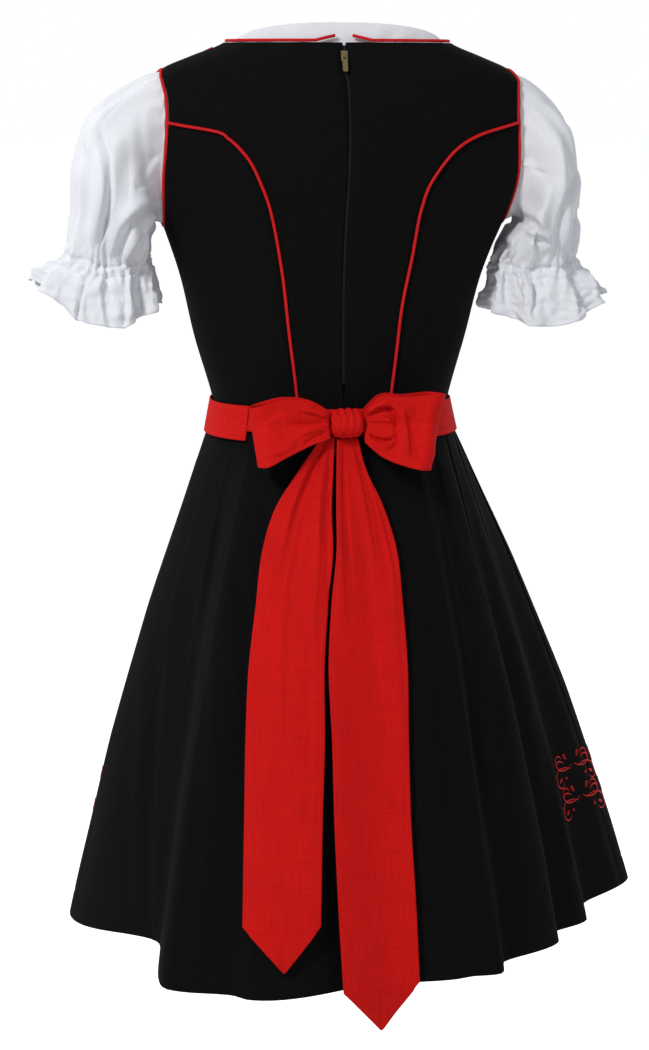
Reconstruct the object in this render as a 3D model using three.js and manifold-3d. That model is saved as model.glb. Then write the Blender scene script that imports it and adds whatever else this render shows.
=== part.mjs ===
// A dirndl set on no wearer, with the hollow form it has when worn: a black dress with red piping,
// a white puff-sleeved blouse under it, and a red apron tied in a bow at the centre back.
// Millimetres, +Z up, the front faces -Y. The origin lies between the shoulders at seam height.
// Angles round the body are in degrees: 0 back, 90 the wearer's left (+X), 180 front, 270 right.
import * as THREE from 'three';
import * as BufferGeometryUtils from 'three/addons/utils/BufferGeometryUtils.js';
import Module from 'manifold-3d';

// Driving dimensions, in millimetres.
const NECK_Z = 8;                  // dress neckline at the back and the shoulder
const TIP_Z = -16;                 // shoulder seam at the armhole
const UNDERARM_Z = -168;
const WAIST_Z = -350;
const HEM_Z = -870;
const FRONT_NECK_Z = -95;
const DRESS_WALL = 1.6;
const BLOUSE_WALL = 1.1;
const BLOUSE_DEPTH = 4.3;          // blouse cloth below the dress cloth's outer face
const BLOUSE_HEM_Z = -250;
const SKIRT_WALL = 1.6;
const APRON_WALL = 1.3;
const SEAM_GAP = 0.3;
const PIPING_RADIUS = 1.5;
const ARMHOLE_DEEP = 38;           // half the armhole's width in side view
const BLOUSE_ARMHOLE_INSET = 6;    // blouse cloth that shows round the dress armhole
const BAND_TOP_Z = -337;
const BAND_BOTTOM_Z = -370;
const BAND_END = 46;               // angle of the band's square ends from the centre back
const ZIP_END_Z = -316;
const ZIP_GAP = 3;                 // between the dress edges at the centre back

const DRESS_BLACK = { color: 0x15151a, roughness: 0.85, metalness: 0 };
const PIPING_RED = { color: 0xc01a22, roughness: 0.6, metalness: 0 };
const BLOUSE_WHITE = { color: 0xf1f1f4, roughness: 0.9, metalness: 0 };
const APRON_RED = { color: 0xc41a1e, roughness: 0.8, metalness: 0 };
const ZIP_BLACK = { color: 0x1b1b1f, roughness: 0.6, metalness: 0 };
const BRASS = { color: 0x8a7440, roughness: 0.4, metalness: 0.9 };

const DEGREE = Math.PI / 180;
const garment = new THREE.Group();

// Adds one closed solid to the garment under its own name.
function addPiece(name, geometry, finish, parent = garment) {
  const mesh = new THREE.Mesh(geometry, new THREE.MeshStandardMaterial(finish));
  mesh.name = name;
  parent.add(mesh);
  return mesh;
}

// Reads a column of a table on a smooth curve through its rows, which run up in their `by` column.
function read(rows, by, key, value) {
  const last = rows.length - 1;
  let i = 0;
  while (i < last - 1 && value > rows[i + 1][by]) i += 1;
  const slope = (k) => {
    const low = rows[Math.max(k - 1, 0)];
    const high = rows[Math.min(k + 1, last)];
    return (high[key] - low[key]) / (high[by] - low[by]);
  };
  const span = rows[i + 1][by] - rows[i][by];
  const t = THREE.MathUtils.clamp((value - rows[i][by]) / span, 0, 1);
  const rise = t * t * (3 - 2 * t);
  const start = t * (1 - t) * (1 - t) * slope(i) * span;
  const end = t * t * (t - 1) * slope(i + 1) * span;
  return rows[i][key] * (1 - rise) + rows[i + 1][key] * rise + start + end;
}

// The dressed form from the waist to above the neck, on level sections: where the section's
// centre and widest line lie, its half width, and how far the cloth stands out at back and front.
const TORSO = [
  { z: -350, centre: -1, half: 116.2, back: 87, front: 93, mid: 0 },
  { z: -335, centre: -1, half: 117.7, back: 86, front: 93, mid: 0 },
  { z: -277, centre: -1, half: 134.5, back: 82, front: 99, mid: 0 },
  { z: -216, centre: -2, half: 149.5, back: 79, front: 109, mid: 2 },
  { z: -165, centre: -4, half: 168.5, back: 79, front: 117, mid: 4 },
  { z: -115, centre: -7, half: 190.5, back: 80, front: 113, mid: 8 },
  { z: -70, centre: -8, half: 193, back: 78, front: 96, mid: 12 },
  { z: -30, centre: -7, half: 182, back: 73, front: 72, mid: 18 },
  { z: -16, centre: -4, half: 168, back: 69, front: 62, mid: 20 },
  { z: -4, centre: -4, half: 140, back: 65, front: 52, mid: 21 },
  { z: 8, centre: -5, half: 111, back: 60, front: 43, mid: 22 },
  { z: 32, centre: -4, half: 93, back: 53, front: 30, mid: 20 },
];
const ROUNDNESS = 2.3;             // 2 is an ellipse, more is squarer
const torsoAt = (key, z) => read(TORSO, 'z', key, z);

function torsoFace(angle, z) {
  const sin = Math.sin(angle * DEGREE);
  const cos = Math.cos(angle * DEGREE);
  const mid = torsoAt('mid', z);
  const depth = cos > 0 ? torsoAt('back', z) - mid : torsoAt('front', z) + mid;
  const power = 2 / ROUNDNESS;
  return new THREE.Vector3(
    torsoAt('centre', z) + torsoAt('half', z) * Math.sign(sin) * Math.abs(sin) ** power,
    mid + depth * Math.sign(cos) * Math.abs(cos) ** power,
    z,
  );
}

// The point at an angle and height, moved out of the cloth's face by a distance.
function torso(angle, z, out) {
  const step = 0.5;
  const across = torsoFace(angle + step, z).sub(torsoFace(angle - step, z));
  const up = torsoFace(angle, z + step).sub(torsoFace(angle, z - step));
  const normal = up.cross(across).normalize();
  return torsoFace(angle, z).addScaledVector(normal, out);
}

// The angle from the centre back or front at which a section is a distance wide.
function angleAtWidth(width, z) {
  return Math.asin((width / torsoAt('half', z)) ** (ROUNDNESS / 2)) / DEGREE;
}

// The armhole is an ellipse in side view: 0 the shoulder, 90 the back, 180 the underarm.
function armhole(turn, inset) {
  const middle = (TIP_Z + UNDERARM_Z) / 2;
  const z = middle + ((TIP_Z - UNDERARM_Z) / 2 - inset) * Math.cos(turn * DEGREE);
  const away = (ARMHOLE_DEEP - inset) * Math.sin(turn * DEGREE);
  const mid = torsoAt('mid', z);
  const depth = away > 0 ? torsoAt('back', z) - mid : torsoAt('front', z) + mid;
  const fromFace = Math.acos((Math.abs(away) / depth) ** (ROUNDNESS / 2)) / DEGREE;
  return { angle: away > 0 ? fromFace : 180 - fromFace, z };
}

// An even run of places from one to another, both ends included.
function run(from, to, steps) {
  return Array.from({ length: steps + 1 }, (_, i) => ({
    angle: THREE.MathUtils.lerp(from.angle, to.angle, i / steps),
    z: THREE.MathUtils.lerp(from.z, to.z, i / steps),
  }));
}

// A panel's places between its four edges: rows run from the bottom up, columns outwards. The
// higher `hold` is, the nearer to the top edge its uneven spacing stays.
function patch(bottom, top, inner, outer, hold = 1) {
  const columns = bottom.length - 1;
  const lowest = inner[0].z;
  const blend = (key, i, j) => {
    const t = ((inner[i].z - lowest) / (inner.at(-1).z - lowest)) ** hold;
    const s = j / columns;
    const edges = (1 - t) * bottom[j][key] + t * top[j][key] + (1 - s) * inner[i][key] + s * outer[i][key];
    const low = (1 - s) * bottom[0][key] + s * bottom[columns][key];
    const high = (1 - s) * top[0][key] + s * top[columns][key];
    return edges - (1 - t) * low - t * high;
  };
  return inner.map((_, i) => bottom.map((__, j) => ({ angle: blend('angle', i, j), z: blend('z', i, j) })));
}

// Draws a panel's four edges in by half a seam gap.
function trimmed(points, margin) {
  const rows = points.length - 1;
  const columns = points[0].length - 1;
  const toward = (from, to) => from.clone().addScaledVector(to.clone().sub(from).normalize(), margin);
  const narrow = points.map((row) => row.map((point, j) => {
    if (j === 0) return toward(point, row[1]);
    return j === columns ? toward(point, row[columns - 1]) : point;
  }));
  return narrow.map((row, i) => row.map((point, j) => {
    if (i === 0) return toward(point, narrow[1][j]);
    return i === rows ? toward(point, narrow[rows - 1][j]) : point;
  }));
}

// A closed wall between an outer and an inner grid of points, open or joined round its columns.
function wall(outer, inner, joined) {
  const rows = outer.length;
  const columns = outer[0].length;
  const points = [...outer.flat(), ...inner.flat()];
  const index = (layer, i, j) => layer * rows * columns + i * columns + (j % columns);
  const faces = [];
  const quad = (a, b, c, d) => faces.push(a, b, c, a, c, d);
  const spans = joined ? columns : columns - 1;
  for (let j = 0; j < spans; j += 1) {
    for (let i = 0; i < rows - 1; i += 1) {
      quad(index(0, i, j), index(0, i, j + 1), index(0, i + 1, j + 1), index(0, i + 1, j));
      quad(index(1, i, j), index(1, i + 1, j), index(1, i + 1, j + 1), index(1, i, j + 1));
    }
    quad(index(0, 0, j), index(1, 0, j), index(1, 0, j + 1), index(0, 0, j + 1));
    const end = rows - 1;
    quad(index(0, end, j), index(0, end, j + 1), index(1, end, j + 1), index(1, end, j));
  }
  for (let i = 0; i < rows - 1 && !joined; i += 1) {
    const end = columns - 1;
    quad(index(0, i, 0), index(0, i + 1, 0), index(1, i + 1, 0), index(1, i, 0));
    quad(index(0, i, end), index(1, i, end), index(1, i + 1, end), index(0, i + 1, end));
  }
  return facingOut(points, faces);
}

// A geometry from points and triangles, turned so that its faces point out.
function facingOut(points, faces) {
  let volume = 0;
  for (let k = 0; k < faces.length; k += 3) {
    const [a, b, c] = [points[faces[k]], points[faces[k + 1]], points[faces[k + 2]]];
    volume += a.dot(b.clone().cross(c));
  }
  const geometry = new THREE.BufferGeometry().setFromPoints(points);
  geometry.setIndex(volume > 0 ? faces : faces.reverse());
  geometry.computeVertexNormals();
  return geometry;
}

// Moves a grid's points along its own normals, taken across each point's neighbours.
function thickened(grid, joined, distance) {
  const rows = grid.length - 1;
  const columns = grid[0].length;
  const column = (j) => (joined ? (j + columns) % columns : THREE.MathUtils.clamp(j, 0, columns - 1));
  return grid.map((row, i) => row.map((point, j) => {
    const across = row[column(j + 1)].clone().sub(row[column(j - 1)]);
    const down = grid[Math.min(i + 1, rows)][j].clone().sub(grid[Math.max(i - 1, 0)][j]);
    return point.clone().addScaledVector(across.cross(down).normalize(), distance);
  }));
}

// A round cord of cloth through points; `joined` closes it into a ring.
function pipe(path, radius, joined) {
  const sides = 5;
  const count = path.length;
  const near = (k) => (joined ? path[(k + count) % count] : path[THREE.MathUtils.clamp(k, 0, count - 1)]);
  const rings = path.map((point, k) => {
    const along = near(k + 1).clone().sub(near(k - 1)).normalize();
    const side = new THREE.Vector3(point.x, point.y, 0).cross(along).normalize();
    const out = along.clone().cross(side);
    return Array.from({ length: sides }, (_, n) => {
      const turn = (n * 2 * Math.PI) / sides;
      const place = point.clone().addScaledVector(side, radius * Math.cos(turn));
      return place.addScaledVector(out, radius * Math.sin(turn));
    });
  });
  const faces = [];
  const spans = joined ? count : count - 1;
  for (let k = 0; k < spans; k += 1) {
    for (let n = 0; n < sides; n += 1) {
      const [a, b] = [k * sides + n, k * sides + ((n + 1) % sides)];
      const [c, d] = [((k + 1) % count) * sides + ((n + 1) % sides), ((k + 1) % count) * sides + n];
      faces.push(a, b, c, a, c, d);
    }
  }
  for (let n = 1; n < sides - 1 && !joined; n += 1) {
    const start = (count - 1) * sides;
    faces.push(0, n + 1, n, start, start + n, start + n + 1);
  }
  return facingOut(rings.flat(), faces);
}

// The two sides of the body: the wearer's left is as drawn, the right runs the other way round.
const SIDES = [
  { name: 'left', turn: (angle) => angle, key: 'left', sign: 1 },
  { name: 'right', turn: (angle) => 360 - angle, key: 'right', sign: -1 },
];

// Dress: the princess seams' distance from the centre line, waist to armhole or neckline corner.
const BACK_SEAM = [
  { z: -350, left: 44, right: 44 },
  { z: -300, left: 48, right: 50 },
  { z: -250, left: 54, right: 56 },
  { z: -200, left: 61, right: 65 },
  { z: -150, left: 73, right: 72 },
  { z: -126, left: 83, right: 79 },
  { z: -106, left: 93, right: 92 },
  { z: -92, left: 104, right: 105 },
  { z: -82, left: 115, right: 121 },
  { z: -75, left: 128, right: 141 },
];
const SEAM_AT_ARMHOLE = 71;        // armhole turn at which the back princess seam runs out
const FRONT_SEAM = [
  { z: -350, x: 42 },
  { z: -305, x: 48 },
  { z: -255, x: 58 },
  { z: -205, x: 70 },
  { z: -165, x: 79 },
  { z: -130, x: 84 },
  { z: FRONT_NECK_Z, x: 88 },
];
const STRAP_EDGE = [
  { z: -78, x: 90 },
  { z: -58, x: 93 },
  { z: -38, x: 97 },
  { z: -20, x: 101 },
];

function backSeam(key) {
  const rows = BACK_SEAM.map((row) => ({ angle: angleAtWidth(row[key], row.z), z: row.z }));
  return [...rows, armhole(SEAM_AT_ARMHOLE, 0)];
}
const alongFront = (rows) => rows.map((row) => ({ angle: 180 - angleAtWidth(row.x, row.z), z: row.z }));
const frontSeam = alongFront(FRONT_SEAM);
const strapEdge = [...alongFront(STRAP_EDGE), { angle: 112, z: -4 }, { angle: 90, z: NECK_Z }];
const armholeRun = (from, to, steps) => Array.from({ length: steps + 1 }, (_, i) => (
  armhole(THREE.MathUtils.lerp(from, to, i / steps), 0)
));
const sideSeam = run({ angle: 90, z: WAIST_Z }, { angle: 90, z: UNDERARM_Z }, BACK_SEAM.length);

// Points of a panel's places on the torso, at a distance out of its face.
function onTorso(places, side, out) {
  return places.map((row) => row.map((place) => torso(side.turn(place.angle), place.z, out)));
}

// A torso panel: its wall and the seam gap round it.
function panel(places, side, out, thickness) {
  const face = trimmed(onTorso(places, side, out), SEAM_GAP / 2);
  const back = trimmed(onTorso(places, side, out - thickness), SEAM_GAP / 2);
  return wall(face, back, false);
}

// Back panels either side of the zip, from waist to neckline and shoulder.
const neckRun = [0, 15, 30, 45, 60, 75, 90].map((angle) => ({ angle, z: NECK_Z }));
const shoulderRun = [{ angle: 90, z: -4 }, { angle: 90, z: TIP_Z }];
function backPlaces(side) {
  const seam = backSeam(side.key);
  const outer = [...seam, ...armholeRun(SEAM_AT_ARMHOLE, 0, 3).slice(1)];
  const centre = (z) => angleAtWidth(ZIP_GAP / 2, z);
  const shoulderRows = [-42, -17, NECK_Z];
  const inner = [...seam.map((place) => place.z), ...shoulderRows].map((z) => ({ angle: centre(z), z }));
  const top = [{ angle: centre(NECK_Z), z: NECK_Z }, ...neckRun.slice(1), ...shoulderRun];
  const bottom = run(inner[0], outer[0], top.length - 1);
  return patch(bottom, top, inner, outer, 4);
}
function backSidePlaces(side) {
  const seam = backSeam(side.key);
  const top = armholeRun(SEAM_AT_ARMHOLE, 180, 5);
  return patch(run(seam[0], sideSeam[0], 5), top, seam, sideSeam);
}

// Front panels: a centre between the princess seams, and sides that run up into the straps.
function frontSidePlaces() {
  const outer = [...sideSeam, ...armholeRun(180, 360, 8).slice(1)];
  const lower = run(frontSeam[0], frontSeam.at(-1), outer.length - 1 - strapEdge.length);
  const seam = lower.map((place) => ({
    angle: 180 - angleAtWidth(read(FRONT_SEAM, 'z', 'x', place.z), place.z),
    z: place.z,
  }));
  const inner = [...seam, ...strapEdge];
  const top = run(inner.at(-1), outer.at(-1), 4);
  return patch(run(inner[0], outer[0], 4), top, inner, outer);
}
const frontSide = frontSidePlaces();
const frontSeamRows = frontSide.length - strapEdge.length;
const frontEdge = frontSide.slice(0, frontSeamRows).map((row) => row[0]);
const mirrored = (place) => ({ angle: 360 - place.angle, z: place.z });
const frontCentre = patch(
  run(frontEdge[0], mirrored(frontEdge[0]), 8),
  run(frontEdge.at(-1), mirrored(frontEdge.at(-1)), 8),
  frontEdge,
  frontEdge.map(mirrored),
);

addPiece('bodice_front_centre', panel(frontCentre, SIDES[0], 0, DRESS_WALL), DRESS_BLACK);
for (const side of SIDES) {
  addPiece(`bodice_back_${side.name}`, panel(backPlaces(side), side, 0, DRESS_WALL), DRESS_BLACK);
  addPiece(`bodice_back_side_${side.name}`, panel(backSidePlaces(side), side, 0, DRESS_WALL), DRESS_BLACK);
  addPiece(`bodice_front_side_${side.name}`, panel(frontSide, side, 0, DRESS_WALL), DRESS_BLACK);
}

// Piping: cords in the princess seams lie on the cloth, those on an edge lie just past it.
const ON_CLOTH = PIPING_RADIUS + SEAM_GAP;
const PAST_EDGE = ON_CLOTH + 0.2;
const CORD_DEPTH = -0.2;
const NECK_CORD_END = { width: 9, rise: 4.5 };
const ARMHOLE_TURNS = [...armholeTurns(0, SEAM_AT_ARMHOLE, 3), ...armholeTurns(SEAM_AT_ARMHOLE, 180, 5),
  ...armholeTurns(180, 360, 8)];

// Even turns round the armhole, without the last one.
function armholeTurns(from, to, steps) {
  return Array.from({ length: steps }, (_, i) => THREE.MathUtils.lerp(from, to, i / steps));
}

// A seam's cord starts at the apron band, on the straight between the seam's two lowest points.
function seamCord(places, side) {
  const path = places.map((place) => torso(side.turn(place.angle), place.z, ON_CLOTH));
  const [low, next] = path;
  low.lerp(next, (BAND_TOP_Z + 1 - low.z) / (next.z - low.z));
  return pipe(path, PIPING_RADIUS, false);
}
for (const side of SIDES) {
  const neckAngles = [12, 30, 45, 60, 75, 90];
  const neckPath = neckAngles.map((angle) => torso(side.turn(angle), NECK_Z + PAST_EDGE, CORD_DEPTH));
  const start = angleAtWidth(NECK_CORD_END.width, NECK_Z);
  neckPath.unshift(torso(side.turn(start), NECK_Z + PAST_EDGE + NECK_CORD_END.rise, CORD_DEPTH));
  addPiece(`piping_neck_back_${side.name}`, pipe(neckPath, PIPING_RADIUS, false), PIPING_RED);
  addPiece(`piping_back_${side.name}`, seamCord(backSeam(side.key), side), PIPING_RED);
  addPiece(`piping_front_${side.name}`, seamCord(frontEdge, side), PIPING_RED);
  const armPath = ARMHOLE_TURNS.map((turn) => {
    const place = armhole(turn, PAST_EDGE + 0.2);
    return torso(side.turn(place.angle), place.z, CORD_DEPTH);
  });
  addPiece(`piping_armhole_${side.name}`, pipe(armPath, PIPING_RADIUS, true), PIPING_RED);
}

// The front neck cord runs down one strap, across the centre panel and up the other strap.
const pastEdge = (edge, within) => edge.clone().addScaledVector(edge.clone().sub(within).normalize(), PAST_EDGE);
function strapCord(side) {
  const rows = onTorso(frontSide.slice(frontSeamRows - 1), side, CORD_DEPTH);
  const path = rows.map((row) => pastEdge(row[0], row[1]));
  const top = path.pop();
  path[0].z += PAST_EDGE;
  return [...path, top.lerp(path.at(-1), 0.2)];
}
const centreRows = onTorso(frontCentre.slice(-2), SIDES[0], CORD_DEPTH);
const acrossFront = centreRows[1].map((point, j) => pastEdge(point, centreRows[0][j])).slice(1, -1);
const frontNeckPath = [...strapCord(SIDES[0]).reverse(), ...acrossFront, ...strapCord(SIDES[1])];
addPiece('piping_neck_front', pipe(frontNeckPath, PIPING_RADIUS, false), PIPING_RED);

// Blouse body under the dress, to a short hem; its neckline shows above the dress all round.
const BLOUSE_NECK = { sideZ: 10, backRise: 18, frontZ: -70 };
const BLOUSE_FRONT_EDGE = [
  { angle: 100, z: 6 },
  { angle: 118, z: -6 },
  { angle: 136, z: -24 },
  { angle: 150, z: -46 },
  { angle: 158, z: -62 },
  { angle: 166, z: BLOUSE_NECK.frontZ },
  { angle: 174, z: BLOUSE_NECK.frontZ - 1 },
];
const SHOULDER = { z: -20, near: 6, far: 40, extra: 3.4 };   // where the blouse lies deeper
const blouseDepth = (z) => BLOUSE_DEPTH + SHOULDER.extra * (
  1 - THREE.MathUtils.smoothstep(Math.abs(z - SHOULDER.z), SHOULDER.near, SHOULDER.far)
);
const blouseArmhole = (turn) => armhole(turn, BLOUSE_ARMHOLE_INSET);
const blouseTip = blouseArmhole(0);
const blouseNeckPoint = { angle: 90, z: BLOUSE_NECK.sideZ };
const blouseShoulder = run(blouseTip, blouseNeckPoint, 2).slice(0, 2);
const backNeck = [90, 72, 54, 36, 18, 0].map((angle) => ({
  angle,
  z: BLOUSE_NECK.sideZ + BLOUSE_NECK.backRise * Math.cos(angle * DEGREE) ** 0.8,
}));
const frontNeck = [blouseNeckPoint, ...BLOUSE_FRONT_EDGE, { angle: 180, z: BLOUSE_NECK.frontZ - 1 }];
const backAcross = (place) => ({ angle: -place.angle, z: place.z });

function blouseHalf(neck, reflect, from, to, reach) {
  const side = run({ angle: 90, z: BLOUSE_HEM_Z }, { angle: 90, z: blouseArmhole(180).z }, 2);
  const arm = Array.from({ length: 9 }, (_, i) => blouseArmhole(THREE.MathUtils.lerp(from, to, i / 8)));
  const near = [...side, ...arm.slice(1)];
  const half = [...blouseShoulder, ...neck];
  const top = [...half, ...half.slice(0, -1).reverse().map(reflect)];
  const bottom = run(near[0], { angle: reach, z: BLOUSE_HEM_Z }, top.length - 1);
  return patch(bottom, top, near, near.map(reflect), 2);
}
const blouseBack = blouseHalf(backNeck, backAcross, 180, 0, -90);
const blouseFront = blouseHalf(frontNeck, mirrored, 180, 360, 270);
const underDress = (places, deeper) => places.map((row) => row.map((place) => (
  torso(place.angle, place.z, -blouseDepth(place.z) - deeper)
)));
function inBlouse(places) {
  const face = trimmed(underDress(places, 0), SEAM_GAP / 2);
  return wall(face, trimmed(underDress(places, BLOUSE_WALL), SEAM_GAP / 2), false);
}
addPiece('blouse_back', inBlouse(blouseBack), BLOUSE_WHITE);
addPiece('blouse_front', inBlouse(blouseFront), BLOUSE_WHITE);

// Puff sleeves, each one tube from the armhole through an elastic gather to a loose frill.
// `along` runs from head to hem; outX, outZ and inX, inZ are a ring's outer and inner points as
// seen from the back, deep is half its depth, mid its middle in Y, droop how far its back and
// front hang, and wave the height of its gathers. The right sleeve's X is given as positive.
const SLEEVE_LEFT = [
  { along: 0, outX: 166, outZ: -24, inX: 163, inZ: -160, deep: 32, mid: 11, droop: 0, wave: 0 },
  { along: 0.15, outX: 196, outZ: -31, inX: 172, inZ: -158, deep: 45, mid: 12, droop: 0, wave: 2 },
  { along: 0.3, outX: 233, outZ: -59, inX: 173, inZ: -165, deep: 57, mid: 13, droop: 0, wave: 2.2 },
  { along: 0.48, outX: 250, outZ: -107, inX: 176, inZ: -176, deep: 61, mid: 13, droop: 2, wave: 1.8 },
  { along: 0.62, outX: 252, outZ: -152, inX: 177, inZ: -186, deep: 53, mid: 11, droop: 6, wave: 2.2 },
  { along: 0.74, outX: 262, outZ: -191, inX: 178, inZ: -197, deep: 42, mid: 9, droop: 8, wave: 2.2 },
  { along: 0.86, outX: 280, outZ: -203, inX: 172, inZ: -215, deep: 50, mid: 9, droop: 16, wave: 3.6 },
  { along: 1, outX: 293, outZ: -215, inX: 168, inZ: -240, deep: 58, mid: 9, droop: 30, wave: 5 },
];
const SLEEVE_RIGHT = [
  { along: 0, outX: 181, outZ: -24, inX: 176, inZ: -160, deep: 32, mid: 11, droop: 0, wave: 0 },
  { along: 0.15, outX: 209, outZ: -36, inX: 187, inZ: -158, deep: 45, mid: 12, droop: 0, wave: 2 },
  { along: 0.3, outX: 233, outZ: -66, inX: 186, inZ: -165, deep: 57, mid: 13, droop: 0, wave: 2.2 },
  { along: 0.48, outX: 243, outZ: -112, inX: 175, inZ: -178, deep: 61, mid: 13, droop: 2, wave: 1.8 },
  { along: 0.62, outX: 247, outZ: -158, inX: 167, inZ: -190, deep: 53, mid: 11, droop: 6, wave: 2.2 },
  { along: 0.74, outX: 248, outZ: -198, inX: 162, inZ: -204, deep: 42, mid: 9, droop: 8, wave: 2.2 },
  { along: 0.86, outX: 263, outZ: -218, inX: 157, inZ: -224, deep: 50, mid: 9, droop: 14, wave: 3.6 },
  { along: 1, outX: 278, outZ: -236, inX: 150, inZ: -247, deep: 60, mid: 9, droop: 22, wave: 5 },
];
const SLEEVE_PLACES = [0, 0.06, 0.13, 0.22, 0.32, 0.44, 0.56, 0.66, 0.74, 0.8, 0.9, 1];
const SLEEVE_WAVES = 10;
const SLEEVE_COLUMNS = 4 * SLEEVE_WAVES;
const ROOT_INSET = BLOUSE_ARMHOLE_INSET + 1.6;
const HEAD = { reach: 14, from: 0.03, to: 0.3 };   // the head stands straight out, then swells

function sleevePoint(side, table, along, turn) {
  const at = (key) => read(table, 'along', key, along);
  const [sin, cos] = [Math.sin(turn * DEGREE), Math.cos(turn * DEGREE)];
  const outer = new THREE.Vector3(at('outX'), 0, at('outZ'));
  const inner = new THREE.Vector3(at('inX'), 0, at('inZ'));
  const centre = outer.clone().add(inner).multiplyScalar(0.5);
  const reach = outer.sub(inner).multiplyScalar(0.5);
  const ease = 1.2 * Math.sin(2 * turn * DEGREE);
  const swell = 1 + (at('wave') / reach.length()) * Math.cos(SLEEVE_WAVES * turn * DEGREE + ease);
  const point = centre.addScaledVector(reach, cos * swell);
  point.y = at('mid') + at('deep') * sin * swell;
  point.z -= at('droop') * sin * sin;
  point.x *= side.sign;
  const root = armhole(turn, ROOT_INSET);
  const head = torso(side.turn(root.angle), root.z, -blouseDepth(root.z));
  head.x += side.sign * HEAD.reach * Math.min(along / HEAD.to, 1);
  return head.lerp(point, THREE.MathUtils.smoothstep(along, HEAD.from, HEAD.to));
}

function sleeve(side, table) {
  const turns = Array.from({ length: SLEEVE_COLUMNS }, (_, j) => (j * 360) / SLEEVE_COLUMNS);
  const outer = SLEEVE_PLACES.map((along) => turns.map((turn) => sleevePoint(side, table, along, turn)));
  return wall(outer, thickened(outer, true, -BLOUSE_WALL * side.sign), true);
}
addPiece('sleeve_left', sleeve(SIDES[0], SLEEVE_LEFT), BLOUSE_WHITE);
addPiece('sleeve_right', sleeve(SIDES[1], SLEEVE_RIGHT), BLOUSE_WHITE);

// Skirt: its folds at the hem, round from the back. Each row is a fold's edge and the tuck after it,
// with their radii and how much higher than the rest the hem lies there. The folds run up to the
// flat waist seam, and small stitched pleats lie between them.
const FOLDS = [
  { edge: 25, out: 273, up: 0, tuck: 29, in: 267, tuckUp: 0 },
  { edge: 42, out: 281, up: 0, tuck: 57, in: 227, tuckUp: 17 },
  { edge: 96, out: 268, up: 0, tuck: 110, in: 243, tuckUp: 0 },
  { edge: 127, out: 263, up: 0, tuck: 137, in: 247, tuckUp: 0 },
  { edge: 151, out: 258, up: 0, tuck: 160, in: 246, tuckUp: 0 },
  { edge: 174, out: 256, up: 0, tuck: 183, in: 245, tuckUp: 0 },
  { edge: 197, out: 258, up: 0, tuck: 206, in: 246, tuckUp: 0 },
  { edge: 220, out: 265, up: 0, tuck: 230, in: 250, tuckUp: 0 },
  { edge: 243, out: 286, up: 0, tuck: 251, in: 272, tuckUp: 0 },
  { edge: 265, out: 329, up: 8, tuck: 281, in: 263, tuckUp: 4 },
  { edge: 287.5, out: 267, up: 0, tuck: 299, in: 239, tuckUp: 0 },
  { edge: 304, out: 253, up: 0, tuck: 322, in: 235, tuckUp: 0 },
  { edge: 328.5, out: 255, up: 0, tuck: 336, in: 243, tuckUp: 0 },
  { edge: 351, out: 231, up: 0, tuck: 358, in: 229, tuckUp: 0 },
];
const PLEATS = { count: 24, deep: 2.2, fade: 0.75 };
const SKIRT_SWELL = 0.07;          // how far the skirt's side stands out of a straight line

// The hem's radius and rise: along the folds, or over their edges only, for what lies on the skirt.
function hemAt(angle, folded) {
  const marks = FOLDS.flatMap((fold) => [
    { at: fold.edge, radius: fold.out, rise: fold.up },
    ...(folded ? [{ at: fold.tuck, radius: fold.in, rise: fold.tuckUp }] : []),
  ]);
  const turn = THREE.MathUtils.euclideanModulo(angle - marks[0].at, 360) + marks[0].at;
  const next = marks.findIndex((mark) => mark.at > turn);
  const to = next < 0 ? { ...marks[0], at: marks[0].at + 360 } : marks[next];
  const from = marks[(next < 0 ? marks.length : next) - 1];
  const t = THREE.MathUtils.smoothstep(turn, from.at, to.at);
  return {
    radius: THREE.MathUtils.lerp(from.radius, to.radius, t),
    rise: THREE.MathUtils.lerp(from.rise, to.rise, t),
  };
}

// A point of the skirt at an angle and a share of the way down, 0 at the waist and 1 at the hem.
function skirt(angle, down, folded, out = 0) {
  const waist = torsoFace(angle, WAIST_Z);
  const [sin, cos] = [Math.sin(angle * DEGREE), Math.cos(angle * DEGREE)];
  const share = down + SKIRT_SWELL * Math.sin(Math.PI * down);
  const pleat = THREE.MathUtils.euclideanModulo((angle / 360) * PLEATS.count, 1);
  const stitched = folded ? PLEATS.deep * (pleat - 0.75) * Math.min(down * 12, 1) : 0;
  const { radius, rise } = hemAt(angle, folded);
  const relief = stitched * Math.max(1 - down / PLEATS.fade, 0) + out;
  return new THREE.Vector3(
    THREE.MathUtils.lerp(waist.x, radius * sin, share) + relief * sin,
    THREE.MathUtils.lerp(waist.y, radius * cos, share) + relief * cos,
    THREE.MathUtils.lerp(WAIST_Z - SEAM_GAP, HEM_Z + rise, down),
  );
}

const SKIRT_ROWS = [0, 0.035, 0.1, 0.2, 0.34, 0.5, 0.67, 0.84, 1];
const PLEAT_STEPS = [0, 0.35, 0.7, 0.96];
const SKIRT_PANELS = [
  { name: 'skirt_back_left', from: 0, to: 6 },
  { name: 'skirt_front', from: 6, to: 18 },
  { name: 'skirt_back_right', from: 18, to: 24 },
];
for (const part of SKIRT_PANELS) {
  const angles = [];
  for (let k = part.from; k < part.to; k += 1) {
    angles.push(...PLEAT_STEPS.map((step) => ((k + step) * 360) / PLEATS.count));
  }
  angles.push((part.to * 360) / PLEATS.count - 0.001);
  const face = SKIRT_ROWS.map((down) => angles.map((angle) => skirt(angle, down, true)));
  const cut = trimmed(face, SEAM_GAP / 2);
  addPiece(part.name, wall(cut, thickened(cut, false, -SKIRT_WALL), false), DRESS_BLACK);
}

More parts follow.
